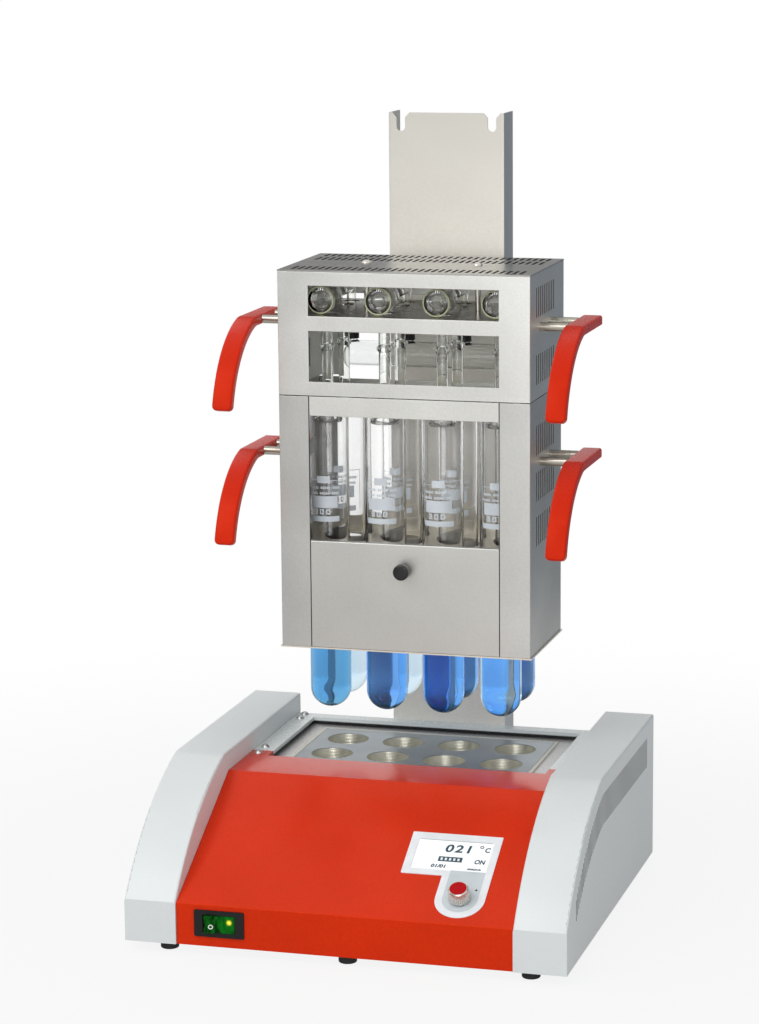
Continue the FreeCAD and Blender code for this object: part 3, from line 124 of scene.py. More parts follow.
class Finish:
    """A material with object coordinates and a principled shader to build a finish on."""

    def __init__(self, name, colour, metallic=0.0, roughness=0.5):
        self.material = bpy.data.materials.new(name)
        self.material.use_nodes = True
        self.tree = self.material.node_tree
        self.shader = self.tree.nodes["Principled BSDF"]
        self.output = self.tree.nodes["Material Output"]
        self.place = self.add("ShaderNodeTexCoord").outputs["Object"]
        self.colour = colour
        self.shader.inputs["Base Color"].default_value = colour
        self.shader.inputs["Metallic"].default_value = metallic
        self.shader.inputs["Roughness"].default_value = roughness

    @classmethod
    def over(cls, material):
        """The same helper on a material that exists already."""
        finish = cls.__new__(cls)
        finish.material = material
        finish.tree = material.node_tree
        finish.shader = finish.tree.nodes["Principled BSDF"]
        finish.output = finish.tree.nodes["Material Output"]
        finish.place = finish.add("ShaderNodeTexCoord").outputs["Object"]
        return finish

    def add(self, kind, **settings):
        node = self.tree.nodes.new(kind)
        for key, value in settings.items():
            setattr(node, key, value)
        return node

    def link(self, source, target):
        self.tree.links.new(source, target)

    def stretched(self, scale):
        mapping = self.add("ShaderNodeMapping")
        mapping.inputs["Scale"].default_value = scale
        self.link(self.place, mapping.inputs["Vector"])
        return mapping.outputs["Vector"]

    def noise(self, scale, stretch=(1, 1, 1), detail=2.0, roughness=0.5):
        node = self.add("ShaderNodeTexNoise")
        node.inputs["Scale"].default_value = scale
        node.inputs["Detail"].default_value = detail
        node.inputs["Roughness"].default_value = roughness
        self.link(self.stretched(stretch), node.inputs["Vector"])
        return node.outputs["Fac"]

    def ramp(self, source, low, high, low_value, high_value):
        node = self.add("ShaderNodeMapRange")
        node.inputs["From Min"].default_value = low
        node.inputs["From Max"].default_value = high
        node.inputs["To Min"].default_value = low_value
        node.inputs["To Max"].default_value = high_value
        self.link(source, node.inputs["Value"])
        return node.outputs["Result"]

    def spread(self, source, low_value, high_value):
        """Spreads the range that a noise mostly keeps to over two values."""
        return self.ramp(source, *noise_range, low_value, high_value)

    def math(self, operation, first, second=None):
        node = self.add("ShaderNodeMath", operation=operation)
        for socket, value in zip(node.inputs, (first, second)):
            if isinstance(value, (int, float)):
                socket.default_value = value
            elif value is not None:
                self.link(value, socket)
        return node.outputs["Value"]

    def between(self, factor, first, second):
        node = self.add("ShaderNodeMix", data_type="RGBA")
        self.link(factor, node.inputs["Factor"])
        for socket, value in ((node.inputs[6], first), (node.inputs[7], second)):
            if isinstance(value, tuple):
                socket.default_value = value
            else:
                self.link(value, socket)
        return node.outputs[2]

    def shade(self, colour):
        self.link(colour, self.shader.inputs["Base Color"])

    def base(self):
        """The colour that the finish has so far."""
        return self.shader.inputs["Base Color"].links[0].from_socket

    def along(self, axis):
        """The place along one axis."""
        split = self.add("ShaderNodeSeparateXYZ")
        self.link(self.place, split.inputs["Vector"])
        return split.outputs[axis]

    def rough(self, value):
        self.link(value, self.shader.inputs["Roughness"])

    def bump(self, height, strength, distance):
        node = self.add("ShaderNodeBump")
        node.inputs["Strength"].default_value = strength
        node.inputs["Distance"].default_value = distance
        self.link(height, node.inputs["Height"])
        self.link(node.outputs["Normal"], self.shader.inputs["Normal"])

    def wear(self, factor, amount):
        """Slightly lighter and darker clouds over the finish's own colour."""
        darker = tuple(c * (1 - amount) for c in self.colour[:3]) + (1.0,)
        lighter = tuple(min(c * (1 + amount), 1.0) for c in self.colour[:3]) + (1.0,)
        self.shade(self.between(factor, darker, lighter))


def satin_steel(name, colour, roughness=0.34, grain=(1, 1, 1), mottle=0.08, metallic=1.0):
    """Glass-blasted stainless sheet: soft clouds, a fine grain and faint handling marks."""
    finish = Finish(name, colour, metallic, roughness)
    clouds = finish.spread(finish.noise(9.0, detail=3.0), 0.0, 0.65)
    speckle = finish.spread(finish.noise(450.0, detail=2.0), 0.0, 0.35)
    finish.wear(finish.math("ADD", clouds, speckle), mottle)
    fine = finish.noise(1400.0, grain, detail=2.0)
    marks = finish.noise(30.0, (1, 1, 1), detail=5.0, roughness=0.65)
    finish.rough(finish.math("ADD", finish.spread(marks, roughness - 0.03, roughness + 0.04),
                             finish.spread(fine, -0.03, 0.03)))
    finish.bump(fine, 0.10, 0.0002)
    return finish.material


def seam_shadowed_sheet(name, colour, axis, low, high):
    """Satin sheet with a painted shadow line where its edge meets the next sheet."""
    finish = Finish.over(satin_steel(name, colour, 0.43, mottle=0.11))
    # Painted shadow: the narrow band next to the seam is coloured dark.
    place = finish.math("ABSOLUTE", finish.along(axis))
    inside = finish.math("MULTIPLY", finish.math("GREATER_THAN", place, low * mm),
                         finish.math("LESS_THAN", place, high * mm))
    finish.shade(finish.between(inside, finish.base(), tone(74, 72, 69)))
    return finish.material


def mast_sheet(name, colour, low, high):
    """Satin sheet of the mast, painted a darker, cooler shade on its outer sides and a little
    darker towards its top.
    """
    finish = Finish.over(satin_steel(name, colour, 0.38, metallic=0.38))
    # Painted shade: the outer sides of the mast are coloured a darker, cooler grey.
    side = finish.ramp(finish.math("ABSOLUTE", finish.along("X")), (mast_half_width - 0.6) * mm,
                       (mast_half_width - 0.3) * mm, 0.0, 1.0)
    # The sheet grows a little darker towards its top.
    top_fade = finish.ramp(finish.along("Z"), low, high, 0.0, 1.0)
    darker_at_top = finish.between(top_fade, finish.base(), tone(210, 207, 198))
    finish.shade(finish.between(side, darker_at_top, tone(180, 183, 186)))
    return finish.material


def powder_coat(name, colour, roughness=0.42, grain=1500.0, depth=0.16, clouds=0.035, gloss=0.4,
                glow=(1, 1, 1, 1)):
    """Baked powder coat: a fine orange-peel texture under a satin gloss."""
    finish = Finish(name, colour, 0.0, roughness)
    finish.shader.inputs["Specular IOR Level"].default_value = gloss
    finish.shader.inputs["Specular Tint"].default_value = glow
    peel = finish.noise(grain, detail=3.0, roughness=0.6)
    broad = finish.noise(grain / 4, detail=2.0)
    soft = finish.spread(finish.noise(14.0, detail=4.0), 0.0, 0.5)
    fine = finish.spread(finish.noise(420.0, detail=2.0), 0.0, 0.5)
    finish.wear(finish.math("ADD", soft, fine), clouds)
    finish.rough(finish.spread(broad, roughness - 0.05, roughness + 0.05))
    finish.bump(finish.math("ADD", peel, broad), depth, 0.0003)
    return finish.material


def shadow_below(finish, height, colour):
    """Darkens a finish under a height with a painted shadow, where shade falls below a folded edge.
    """
    deep = finish.ramp(finish.along("Z"), (height - 0.5) * mm, (height + 0.5) * mm, 1.0, 0.0)
    finish.shade(finish.between(deep, finish.base(), colour))


def deck_coat(name, colour):
    """The deck's powder coat, with painted shadow on its inner wall under its folded inner edge."""
    finish = Finish.over(powder_coat(name, colour, 0.24, 1500.0, 0.1, 0.02, 0.5))
    # Painted shadow on the lower part of the deck's inner wall.
    shadow_below(finish, shadow_line_height, tone(26, 26, 26))
    return finish.material


def shadowed_sheet(name, colour):
    """Surround sheet that darkens towards the deck's left and rear walls."""
    finish = Finish.over(powder_coat(name, colour, 0.3, 1800.0, 0.1, 0.035, 0.5))
    left = finish.math("SUBTRACT", finish.along("X"), deck_inner_left * mm)
    rear = finish.math("SUBTRACT", deck_inner_rear * mm, finish.along("Y"))
    near = finish.math("MINIMUM", left, finish.math("MULTIPLY", rear, rear_shadow_share))
    dark = finish.ramp(near, 0.0, shadow_reach * mm, 0.9, 0.0)
    finish.shade(finish.between(dark, finish.base(), tone(40, 39, 38)))
    return finish.material


def moulded(name, colour, roughness=0.4, grain=2200.0, depth=0.08, gloss=0.5):
    """Moulded plastic or rubber with a faint spark-eroded skin."""
    finish = Finish(name, colour, 0.0, roughness)
    finish.shader.inputs["Specular IOR Level"].default_value = gloss
    skin = finish.noise(grain, detail=2.0)
    finish.wear(finish.spread(finish.noise(60.0, detail=3.0), 0.0, 1.0), 0.06)
    finish.rough(finish.spread(skin, roughness - 0.04, roughness + 0.05))
    finish.bump(skin, depth, 0.0002)
    return finish.material


def clear_glass(name, colour, roughness=0.0, waviness=0.05):
    """Borosilicate glass: clear, with the faint waviness of blown and drawn tube."""
    finish = Finish(name, colour, 0.0, roughness)
    finish.shader.inputs["IOR"].default_value = 1.47
    finish.shader.inputs["Transmission Weight"].default_value = 1.0
    finish.wear(finish.spread(finish.noise(40.0, (1, 1, 0.3)), 0.0, 1.0), 0.005)
    finish.bump(finish.noise(55.0, (1, 1, 0.25), detail=1.0), waviness, 0.0006)
    return finish.material


def fired_rim(name, colour):
    """Thick fire-polished glass edge, pale green, with a pale diffuse part that is a painted
    highlight.
    """
    finish = Finish(name, colour, 0.0, 0.12)
    finish.shader.inputs["IOR"].default_value = 1.47
    # Painted highlight: only part of the rim lets light through, so its pale colour shows under any
    # lamp.
    finish.shader.inputs["Transmission Weight"].default_value = 0.45
    finish.wear(finish.spread(finish.noise(260.0), 0.0, 1.0), 0.12)
    finish.bump(finish.noise(300.0, detail=1.0), 0.2, 0.0004)
    return finish.material


def sample_liquid(name, tint, density):
    """Clear coloured liquid that wets the glass: its colour comes from its depth."""
    finish = Finish(name, (1, 1, 1, 1), 0.0, 0.0)
    finish.shader.inputs["IOR"].default_value = 1.0
    finish.shader.inputs["Transmission Weight"].default_value = 1.0
    finish.bump(finish.noise(25.0, detail=1.0), 0.02, 0.0004)
    absorption = finish.add("ShaderNodeVolumeAbsorption")
    absorption.inputs["Color"].default_value = tint
    absorption.inputs["Density"].default_value = density
    finish.link(absorption.outputs["Volume"], finish.output.inputs["Volume"])
    return finish.material


def machined_block(name, top_colour, well_colour):
    """Milled block with a darker top and brighter wells, partly machining and partly painted light;
    the wells keep the rings of the boring bar.
    """
    finish = Finish(name, well_colour, 0.92, 0.3)
    height = finish.along("Z")
    in_well = finish.math("LESS_THAN", height, (block_top - 0.6) * mm)
    clouds = finish.spread(finish.noise(35.0, detail=4.0), 0.0, 1.0)
    # Painted light: the wells are coloured brighter, and the top darker, than the machining alone
    # gives.
    shades = []
    for share in (0.92, 1.08):
        pair = [tuple(min(c * share, 1.0) for c in colour[:3]) + (1.0,)
                for colour in (top_colour, well_colour)]
        shades.append(finish.between(in_well, *pair))
    finish.shade(finish.between(clouds, *shades))
    grain = finish.noise(600.0, detail=3.0)
    finish.rough(finish.spread(grain, 0.28, 0.38))
    rings = finish.math("SINE", finish.math("MULTIPLY", height, full_turn / (boring_pitch * mm)))
    turned = finish.math("MULTIPLY", finish.math("MULTIPLY", rings, in_well), 2.0)
    finish.bump(finish.math("ADD", turned, finish.math("MULTIPLY", grain, 0.2)), 0.4, 0.00012)
    return finish.material


def glowing(name, colour, strength):
    """Pale display glass with a soft light behind it."""
    finish = Finish(name, colour, 0.0, 0.25)
    finish.shader.inputs["Emission Color"].default_value = colour
    finish.shader.inputs["Emission Strength"].default_value = strength
    finish.wear(finish.noise(400.0), 0.02)
    finish.bump(finish.noise(2500.0), 0.01, 0.0001)
    return finish.material


def lit_rocker(name, dark, bright, lamp):
    """Clear green rocker, brighter where the lamp under its right end shines through."""
    finish = Finish(name, dark, 0.0, 0.08)
    offset = finish.add("ShaderNodeVectorMath", operation="DISTANCE")
    offset.inputs[1].default_value = tuple(value * mm for value in lamp)
    finish.link(finish.place, offset.inputs[0])
    reach = offset.outputs["Value"]
    cells = finish.noise(330.0, (1, 1, 0.35), detail=3.0)
    body = finish.between(finish.ramp(cells, 0.35, 0.65, 0.0, 1.0), dark, bright)
    finish.shade(body)
    wide = finish.ramp(reach, 0.0, 15.0 * mm, 0.55, 0.0)
    near = finish.ramp(reach, 1.1 * mm, 3.6 * mm, 1.0, 0.0)
    finish.link(finish.between(near, bright, tone(236, 212, 62)),
                finish.shader.inputs["Emission Color"])
    finish.link(finish.math("ADD", wide, near), finish.shader.inputs["Emission Strength"])
    finish.shader.inputs["Specular IOR Level"].default_value = 0.06
    finish.bump(finish.noise(220.0, (1, 1, 0.3)), 0.12, 0.0004)
    return finish.material


finishes = {
    "red_enamel": powder_coat("red_enamel", tone(216, 50, 20), 0.18, 900.0, 0.1, 0.09, 0.5,
                              (1, 0.16, 0.04, 1)),
    "handle_enamel": powder_coat("handle_enamel", tone(210, 44, 21), 0.3, 2200.0, 0.08, 0.045, 0.4,
                                 (1, 0.12, 0.05, 1)),
    "cover_enamel": powder_coat("cover_enamel", tone(226, 231, 231), 0.32, 1800.0, 0.1, 0.015, 0.5),
    "deck_enamel": deck_coat("deck_enamel", tone(232, 238, 236)),
    "rear_enamel": powder_coat("rear_enamel", tone(212, 216, 214), 0.45, 1800.0, 0.12, 0.02),
    "surround_sheet": shadowed_sheet("surround_sheet", tone(218, 216, 214)),
    "rack_steel": seam_shadowed_sheet("rack_steel", tone(198, 198, 194), "X", 97.9, 98.8),
    "shield_steel": satin_steel("shield_steel", tone(197, 197, 192), 0.43),
    "hood_steel": seam_shadowed_sheet("hood_steel", tone(215, 215, 211), "Z", 514.0, 515.0),
    "hood_top_steel": satin_steel("hood_top_steel", tone(178, 177, 173), 0.3),
    "mast_steel": mast_sheet("mast_steel", tone(234, 230, 221), 0.66, 0.786),
    "plate_steel": satin_steel("plate_steel", tone(228, 222, 208), 0.34, metallic=0.6),
    "shelf_steel": satin_steel("shelf_steel", tone(138, 133, 124), 0.25, (1, 40, 40)),
    "carriage_steel": satin_steel("carriage_steel", tone(236, 231, 219), 0.36, metallic=0.4),
    "zinc_sheet": satin_steel("zinc_sheet", tone(190, 193, 196), 0.42, mottle=0.12),
    "rod_steel": satin_steel("rod_steel", tone(172, 167, 156), 0.2, (30, 1, 1)),
    "shaft_steel": satin_steel("shaft_steel", tone(200, 200, 200), 0.25),
    "stud_steel": satin_steel("stud_steel", tone(200, 200, 198), 0.22),
    "sensor_steel": satin_steel("sensor_steel", tone(190, 190, 190), 0.3),
    "encoder_metal": satin_steel("encoder_metal", tone(185, 185, 185), 0.35),
    "post_steel": satin_steel("post_steel", tone(210, 205, 198), 0.18),
    "screw_steel": satin_steel("screw_steel", tone(200, 200, 196), 0.34),
    "knob_metal": satin_steel("knob_metal", tone(206, 202, 196), 0.26),
    "heater_metal": satin_steel("heater_metal", tone(160, 158, 154), 0.45),
    "block_metal": machined_block("block_metal", tone(160, 168, 173), tone(230, 228, 214)),
    "seal_cord": moulded("seal_cord", tone(226, 224, 212), 0.6, 900.0, 0.15),
    "insulation_board": moulded("insulation_board", tone(226, 221, 208), 0.9, 500.0, 0.4),
    "board_laminate": moulded("board_laminate", tone(20, 92, 52), 0.4),
    "bezel_film": moulded("bezel_film", tone(240, 244, 247), 0.35, 2500.0, 0.05),
    "display_lens": glowing("display_lens", tone(246, 249, 249), 0.22),
    "cap_plastic": moulded("cap_plastic", tone(184, 6, 14), 0.4, 1500.0, 0.03, 0.15),
    "switch_plastic": moulded("switch_plastic", tone(9, 8, 10), 0.45, gloss=0.35),
    "inlet_plastic": moulded("inlet_plastic", tone(32, 32, 33), 0.45),
    "rocker_plastic": lit_rocker("rocker_plastic", tone(1, 36, 7), tone(8, 104, 18), lamp_spot),
    "foot_rubber": moulded("foot_rubber", tone(28, 28, 29), 0.7, 1500.0, 0.15),
    "knob_plastic": moulded("knob_plastic", tone(14, 14, 16), 0.3, 1800.0, 0.05),
    "sleeve_rubber": moulded("sleeve_rubber", tone(24, 24, 25), 0.5, 1800.0, 0.08),
    "tube_glass": clear_glass("tube_glass", (0.995, 0.998, 0.998, 1), waviness=0.012),
    "head_glass": clear_glass("head_glass", (0.985, 0.995, 0.97, 1), waviness=0.015),
    "manifold_glass": clear_glass("manifold_glass", (0.985, 0.995, 0.99, 1), waviness=0.03),
}
own_finishes = {"rack_tray": seam_shadowed_sheet("header_sheet", tone(218, 218, 213), "X", 97.9, 98.8)}
liquid_finishes = {
    "teal": sample_liquid("liquid_teal", (0.03, 0.6, 0.87, 1), 60.0),
    "deep": sample_liquid("liquid_deep", (0.0, 0.56, 1.0, 1), 50.0),
    "light": sample_liquid("liquid_light", (0.05, 0.7, 1.0, 1), 14.0),
    "pale": sample_liquid("liquid_pale", (0.05, 0.67, 1.0, 1), 10.0),
}
liquid_order = ("teal", "deep", "deep", "light", "pale", "pale", "deep", "deep")
lit_rim_glass = fired_rim("lit_rim_glass", tone(222, 226, 188))
mark_white = moulded("mark_white", tone(212, 220, 226), 0.5, 2500.0, 0.03)
display_ink = moulded("display_ink", tone(46, 78, 94), 0.4, 2500.0, 0.02)
# Painted shadow of the bezel window along the top edge of the screen
screen_shadow_ink = moulded("screen_shadow_ink", tone(150, 158, 166), 0.4, 2500.0, 0.02)
rocker_mark = moulded("rocker_mark", tone(240, 244, 240), 0.35, 2500.0, 0.02)
bezel_shade = moulded("bezel_shade", tone(206, 215, 219), 0.35, 2500.0, 0.03)
# Painted shade for the walls of the openings in vented sheets
vent_shade = moulded("vent_shade", tone(66, 64, 62), 0.6)
knob_bush = satin_steel("knob_bush", tone(120, 104, 92), 0.3)


def body_of(node):
    return nodes[node]["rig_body"]


def slot_of(node):
    return next(part["material_slot"] for part in frame["record"]["subparts"]
                if part["node"] == node)


def placed(name, form, material):
    """Turns a finished bmesh into an object of the scene."""
    mesh = bpy.data.meshes.new(name)
    form.to_mesh(mesh)
    form.free()
    mesh.materials.append(material)
    piece = bpy.data.objects.new(name, mesh)
    bpy.context.scene.collection.objects.link(piece)
    return piece


def add_piece(name, form, material, body, replaced=()):
    """Turns a finished bmesh into a piece that rides on a body."""
    piece = placed(name, form, material)
    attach(piece, body)
    if replaced:
        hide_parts(*replaced)
    return piece


def smooth_below(form, degrees):
    """Smooth shading, with a sharp edge wherever two faces meet at more than the angle."""
    limit = math.radians(degrees)
    for face in form.faces:
        face.smooth = True
    for edge in form.edges:
        if len(edge.link_faces) == 2:
            edge.smooth = edge.calc_face_angle(0.0) < limit


# Width of the round on the edges of each form, in millimetres
edge_widths = {"rack_right_side": 0.45, "rack_left_side": 0.45, "rack_tray": 0.45,
               "tube_plate": 0.3, "hood_shell": 0.5, "front_shield": 0.55, "mast": 0.4,
               "display_bezel": 0.2, "switch_frame": 0.9, "power_rocker": 0.6, "deck_frame": 0.4,
               "heating_block": 0.4, "hood_posts": 0.3, "power_inlet": 0.5}
# The axis through the sheet, and where its outer sheet starts
vented_sheets = {"hood_shell": (0, 128.0), "rack_left_side": (0, 128.0),
                 "rack_right_side": (0, 128.0), "left_side_cover": (0, 217.0),
                 "right_side_cover": (0, 217.0), "hood_cover": (2, 639.0),
                 "rear_panel": (1, 183.0)}
largest_vent = 0.1
wall_tilt = 0.1


def line_vents(form, axis, sheet_start):
    """Gives the walls of small openings across a sheet the second material, a painted shade."""
    waiting = {face for face in form.faces if abs(face.normal[axis]) < wall_tilt}
    while waiting:
        group, edge_of_group = [], [waiting.pop()]
        while edge_of_group:
            face = edge_of_group.pop()
            group.append(face)
            for edge in face.edges:
                for other in edge.link_faces:
                    if other in waiting:
                        waiting.remove(other)
                        edge_of_group.append(other)
        places = [vert.co for face in group for vert in face.verts]
        spans = [max(p[i] for p in places) - min(p[i] for p in places) for i in range(3)]
        outer = min(abs(p[axis]) for p in places) > sheet_start * mm
        if outer and max(spans) < largest_vent:
            for face in group:
                face.material_index = 1


def refined(node, degrees=28.0, edge_width=0.0, segments=2):
    """A merged and smoothly shaded copy of a solid's mesh that stands for the solid."""
    form = bmesh.new()
    form.from_mesh(nodes[node].data)
    bmesh.ops.remove_doubles(form, verts=form.verts, dist=2e-6)
    bmesh.ops.dissolve_limit(form, angle_limit=math.radians(0.2), verts=form.verts,
                             edges=form.edges)
    smooth_below(form, degrees)
    slot = slot_of(node)
    if node in vented_sheets:
        line_vents(form, *vented_sheets[node])
    finish = own_finishes.get(node, finishes[slot])
    piece = add_piece(node + "_dressed", form, finish, body_of(node), (node,))
    # Vented sheets take the painted shade as their second material.
    if node in vented_sheets:
        piece.data.materials.append(vent_shade)
    if edge_width:
        bevel = piece.modifiers.new("edges", "BEVEL")
        bevel.width = edge_width * mm
        bevel.segments = segments
        bevel.limit_method = "ANGLE"
        bevel.angle_limit = math.radians(degrees)
        bevel.harden_normals = True
    return piece


def spun(profile, centre, axis=(0, 0, 1), steps=72, closed=True):
    """A bmesh turned from radius and height pairs about a line through centre."""
    form = bmesh.new()
    line = Vector(axis)
    across = Vector((1, 0, 0)) if abs(line.x) < 0.5 else Vector((0, 0, 1))
    points = [form.verts.new(Vector(centre) * mm + (across * r + line * h) * mm)
              for r, h in profile]
    pairs = list(zip(points, points[1:]))
    if closed:
        pairs.append((points[-1], points[0]))
    edges = [form.edges.new(pair) for pair in pairs]
    bmesh.ops.spin(form, geom=points + edges, cent=Vector(centre) * mm, axis=line,
                   angle=full_turn, steps=steps, use_merge=True, use_duplicate=False)
    bmesh.ops.remove_doubles(form, verts=form.verts, dist=1e-6)
    bmesh.ops.recalc_face_normals(form, faces=form.faces)
    smooth_below(form, 40.0)
    return form


def arc_points(centre_r, centre_h, radius, start, end, count):
    """Radius and height pairs on an arc, angles in degrees from straight out."""
    points = []
    for index in range(count + 1):
        angle = math.radians(start + (end - start) * index / count)
        points.append((centre_r + radius * math.cos(angle), centre_h + radius * math.sin(angle)))
    return points


def tube_profile():
    """Test tube wall: flared rim, straight body and round bottom, wetted up to the level."""
    inner = tube_radius - tube_wall
    low = tube_bottom + tube_radius
    outside = arc_points(0, low, tube_radius, -90, 0, 18)
    rim = [(tube_radius, tube_top - 5.0), (tube_radius + 0.5, tube_top - 3.6)]
    rim += arc_points(tube_rim_radius - 1.5, tube_top - 1.5, 1.5, -60, 120, 8)
    inside = [(inner + 0.6, tube_top - 2.5), (inner, tube_top - 5.0), (inner, liquid_top + 2.5),
              (inner - 0.8, liquid_top + 0.9), (inner - 2.5, liquid_top + 0.1),
              (0, liquid_top)]
    return outside + rim + inside


def liquid_profile():
    radius = tube_radius - tube_wall - liquid_gap
    low = tube_bottom + tube_radius
    top = liquid_top
    return arc_points(0, low, radius, -90, 0, 18) + [(radius, top), (radius - 0.8, top - 0.9),
                                                     (radius - 2.5, top - 1.5), (0, top - 1.6)]


def lets_light_through(piece):
    """Clear glass throws no hard shadow."""
    piece.visible_shadow = False


def sample_tubes():
    spots = [(x, y) for y in row_ys for x in column_xs]
    for index, (x, y) in enumerate(spots):
        name = "sample_tube_%d" % (index + 1)
        tube = spun(tube_profile(), (x, y, 0), closed=False)
        lets_light_through(add_piece(name + "_glass", tube, finishes["tube_glass"], "rack",
                                     (name,)))
        liquid = spun(liquid_profile(), (x, y, 0), closed=False)
        lets_light_through(add_piece("sample_liquid_%d" % (index + 1), liquid,
                                     liquid_finishes[liquid_order[index]], "rack",
                                     ("sample_liquids",)))
        tube_marks(index + 1, x, y)


def wrapped_strip(form, centre, radius, low, high, middle, width):
    """Adds a thin strip that lies round an upright tube; middle and width in degrees."""
    start = math.radians(middle - width / 2)
    spot = Vector((math.cos(start), math.sin(start), 0)) * radius
    ends = [form.verts.new((Vector(centre) + spot + Vector((0, 0, h))) * mm) for h in (low, high)]
    edge = form.edges.new(ends)
    steps = max(1, round(width / 5))
    bmesh.ops.spin(form, geom=ends + [edge], cent=Vector(centre) * mm, axis=(0, 0, 1),
                   angle=math.radians(width), steps=steps, use_merge=False, use_duplicate=False)


mark_middle = -88.5
mark_fields = ((397.1, 409.3, 79.0), (383.0, 388.5, 89.0), (422.6, 430.0, 37.0))
mark_frame = (385.0, 425.2, -136.0, -30.0)
mark_rows = ((416.6, 419.2, -128.0), (410.9, 413.5, -131.0))
mark_figures = ("300", 390.4, 395.9)
mark_lift = 0.08
box_half = 18.5
dash_pitch, dash_width = 5.6, 4.2
figure_start, figure_pitch = -112.0, 18.0


def tube_marks(number, x, y):
    """Fired white fields, a frame, plain dashes and a volume on the front of a tube."""
    form = bmesh.new()
    centre = (x, y, 0)
    radius = tube_radius + mark_lift
    for low, high, width in mark_fields:
        wrapped_strip(form, centre, radius, low, high, mark_middle, width)
    foot, head, left, right = mark_frame
    box_left, box_right = mark_middle - box_half, mark_middle + box_half
    for start, end in ((left, box_left), (box_right, right)):
        wrapped_strip(form, centre, radius, head, head + 0.6, (start + end) / 2, end - start)
    for side in (left, right):
        wrapped_strip(form, centre, radius, foot, head, side, 1.6)
    for low, high, start in mark_rows:
        for step in range(16):
            if step % 6 != 5:
                wrapped_strip(form, centre, radius, low, high, start + step * dash_pitch,
                              dash_width)
    figures, low, high = mark_figures
    for index, symbol in enumerate(figures):
        wrapped_figure(form, centre, radius, symbol, low, high,
                       figure_start + index * figure_pitch)
    bmesh.ops.recalc_face_normals(form, faces=form.faces)
    bmesh.ops.solidify(form, geom=form.faces, thickness=0.05 * mm)
    bmesh.ops.recalc_face_normals(form, faces=form.faces)
    add_piece("tube_marks_%d" % number, form, mark_white, "rack")


figure_bars = {"0": "abcdef", "3": "abgcd"}


def wrapped_figure(form, centre, radius, symbol, low, high, middle):
    """One figure of plain bars that lies round a tube."""
    half, bar, mid = 6.0, 1.3, (low + high) / 2
    spots = {"a": (high - bar, high, 0, 2 * half), "g": (mid - bar / 2, mid + bar / 2, 0, 2 * half),
             "d": (low, low + bar, 0, 2 * half), "b": (mid, high, half - 1.8, 3.6),
             "c": (low, mid, half - 1.8, 3.6), "f": (mid, high, 1.8 - half, 3.6),
             "e": (low, mid, 1.8 - half, 3.6)}
    for key in figure_bars[symbol]:
        start, end, shift, width = spots[key]
        wrapped_strip(form, centre, radius, start, end, middle + shift, width)


def joined(forms):
    """One bmesh that holds several."""
    whole = bmesh.new()
    for form in forms:
        mesh = bpy.data.meshes.new("part")
        form.to_mesh(mesh)
        form.free()
        whole.from_mesh(mesh)
        bpy.data.meshes.remove(mesh)
    return whole


def form_of(curve):
    """The surface of a curve or a text as a bmesh; the curve itself is dropped."""
    carrier = bpy.data.objects.new("line", curve)
    mesh = bpy.data.meshes.new_from_object(carrier)
    form = bmesh.new()
    form.from_mesh(mesh)
    bpy.data.objects.remove(carrier)
    bpy.data.curves.remove(curve)
    bpy.data.meshes.remove(mesh)
    bmesh.ops.remove_doubles(form, verts=form.verts, dist=1e-6)
    bmesh.ops.recalc_face_normals(form, faces=form.faces)
    return form


def drawn_tube(points, radius, wall):
    """Glass tube with a real wall along a smooth line through a few points."""
    line = bpy.data.curves.new("line", "CURVE")
    line.dimensions = "3D"
    line.bevel_depth = (radius - wall / 2) * mm
    line.bevel_resolution = 10
    line.resolution_u = 8
    spline = line.splines.new("NURBS")
    spline.points.add(len(points) - 1)
    for point, spot in zip(spline.points, points):
        point.co = (*(Vector(spot) * mm), 1)
    spline.order_u = 3
    spline.use_endpoint_u = True
    form = form_of(line)
    skin = list(form.faces)
    for vert in form.verts:
        vert.co += vert.normal * (wall / 2 * mm)
    bmesh.ops.solidify(form, geom=skin, thickness=wall * mm)
    bmesh.ops.recalc_face_normals(form, faces=form.faces)
    smooth_below(form, 50.0)
    return form


stem_radius = 5.8
taper_top = 516.0
stem_top = 594.6
stem_beads = (559.0, 556.5)
outlet_radius = 5.0
outlet_foot = 577.0
glass_wall = 1.4
stem_wall = 0.9
skirt_radius = 14.2
bulb_radius = 14.0
bulb_height = 609.3
rim_radius = 13.2
rim_front = 250.9
rim_bead = 0.8
outlet_y = 362.0 - depth_shift
manifold_height = 541.0
manifold_radius = 13.25
manifold_ends = (-97.6, 101.0)
nozzle_x = 84.0


def stem_profile(bead):
    """Wall of an upright stem: open skirt in the tube's mouth, long taper, blown bead."""
    wall = stem_wall
    outside = [(skirt_radius - 1.2, 483.4), (skirt_radius - 0.3, 483.8),
               (skirt_radius + 0.3, 485.0), (skirt_radius + 0.4, 486.6),
               (skirt_radius, 488.2), (skirt_radius - 1.4, 489.8),
               (skirt_radius - 4.2, 494.0), (stem_radius + 2.0, 503.0), (stem_radius, taper_top),
               (stem_radius, bead - 3.5)]
    outside += arc_points(stem_radius - 1.6, bead, 3.6, -62, 62, 8)
    outside += [(stem_radius, bead + 3.5), (stem_radius, stem_top)]
    inside = [(stem_radius - wall, stem_top), (stem_radius - wall, taper_top),
              (stem_radius + 2.0 - wall, 503.0), (skirt_radius - 4.6 - wall, 493.0),
              (skirt_radius - 2.4, 487.6), (skirt_radius - 2.2, 484.2)]
    return outside + inside


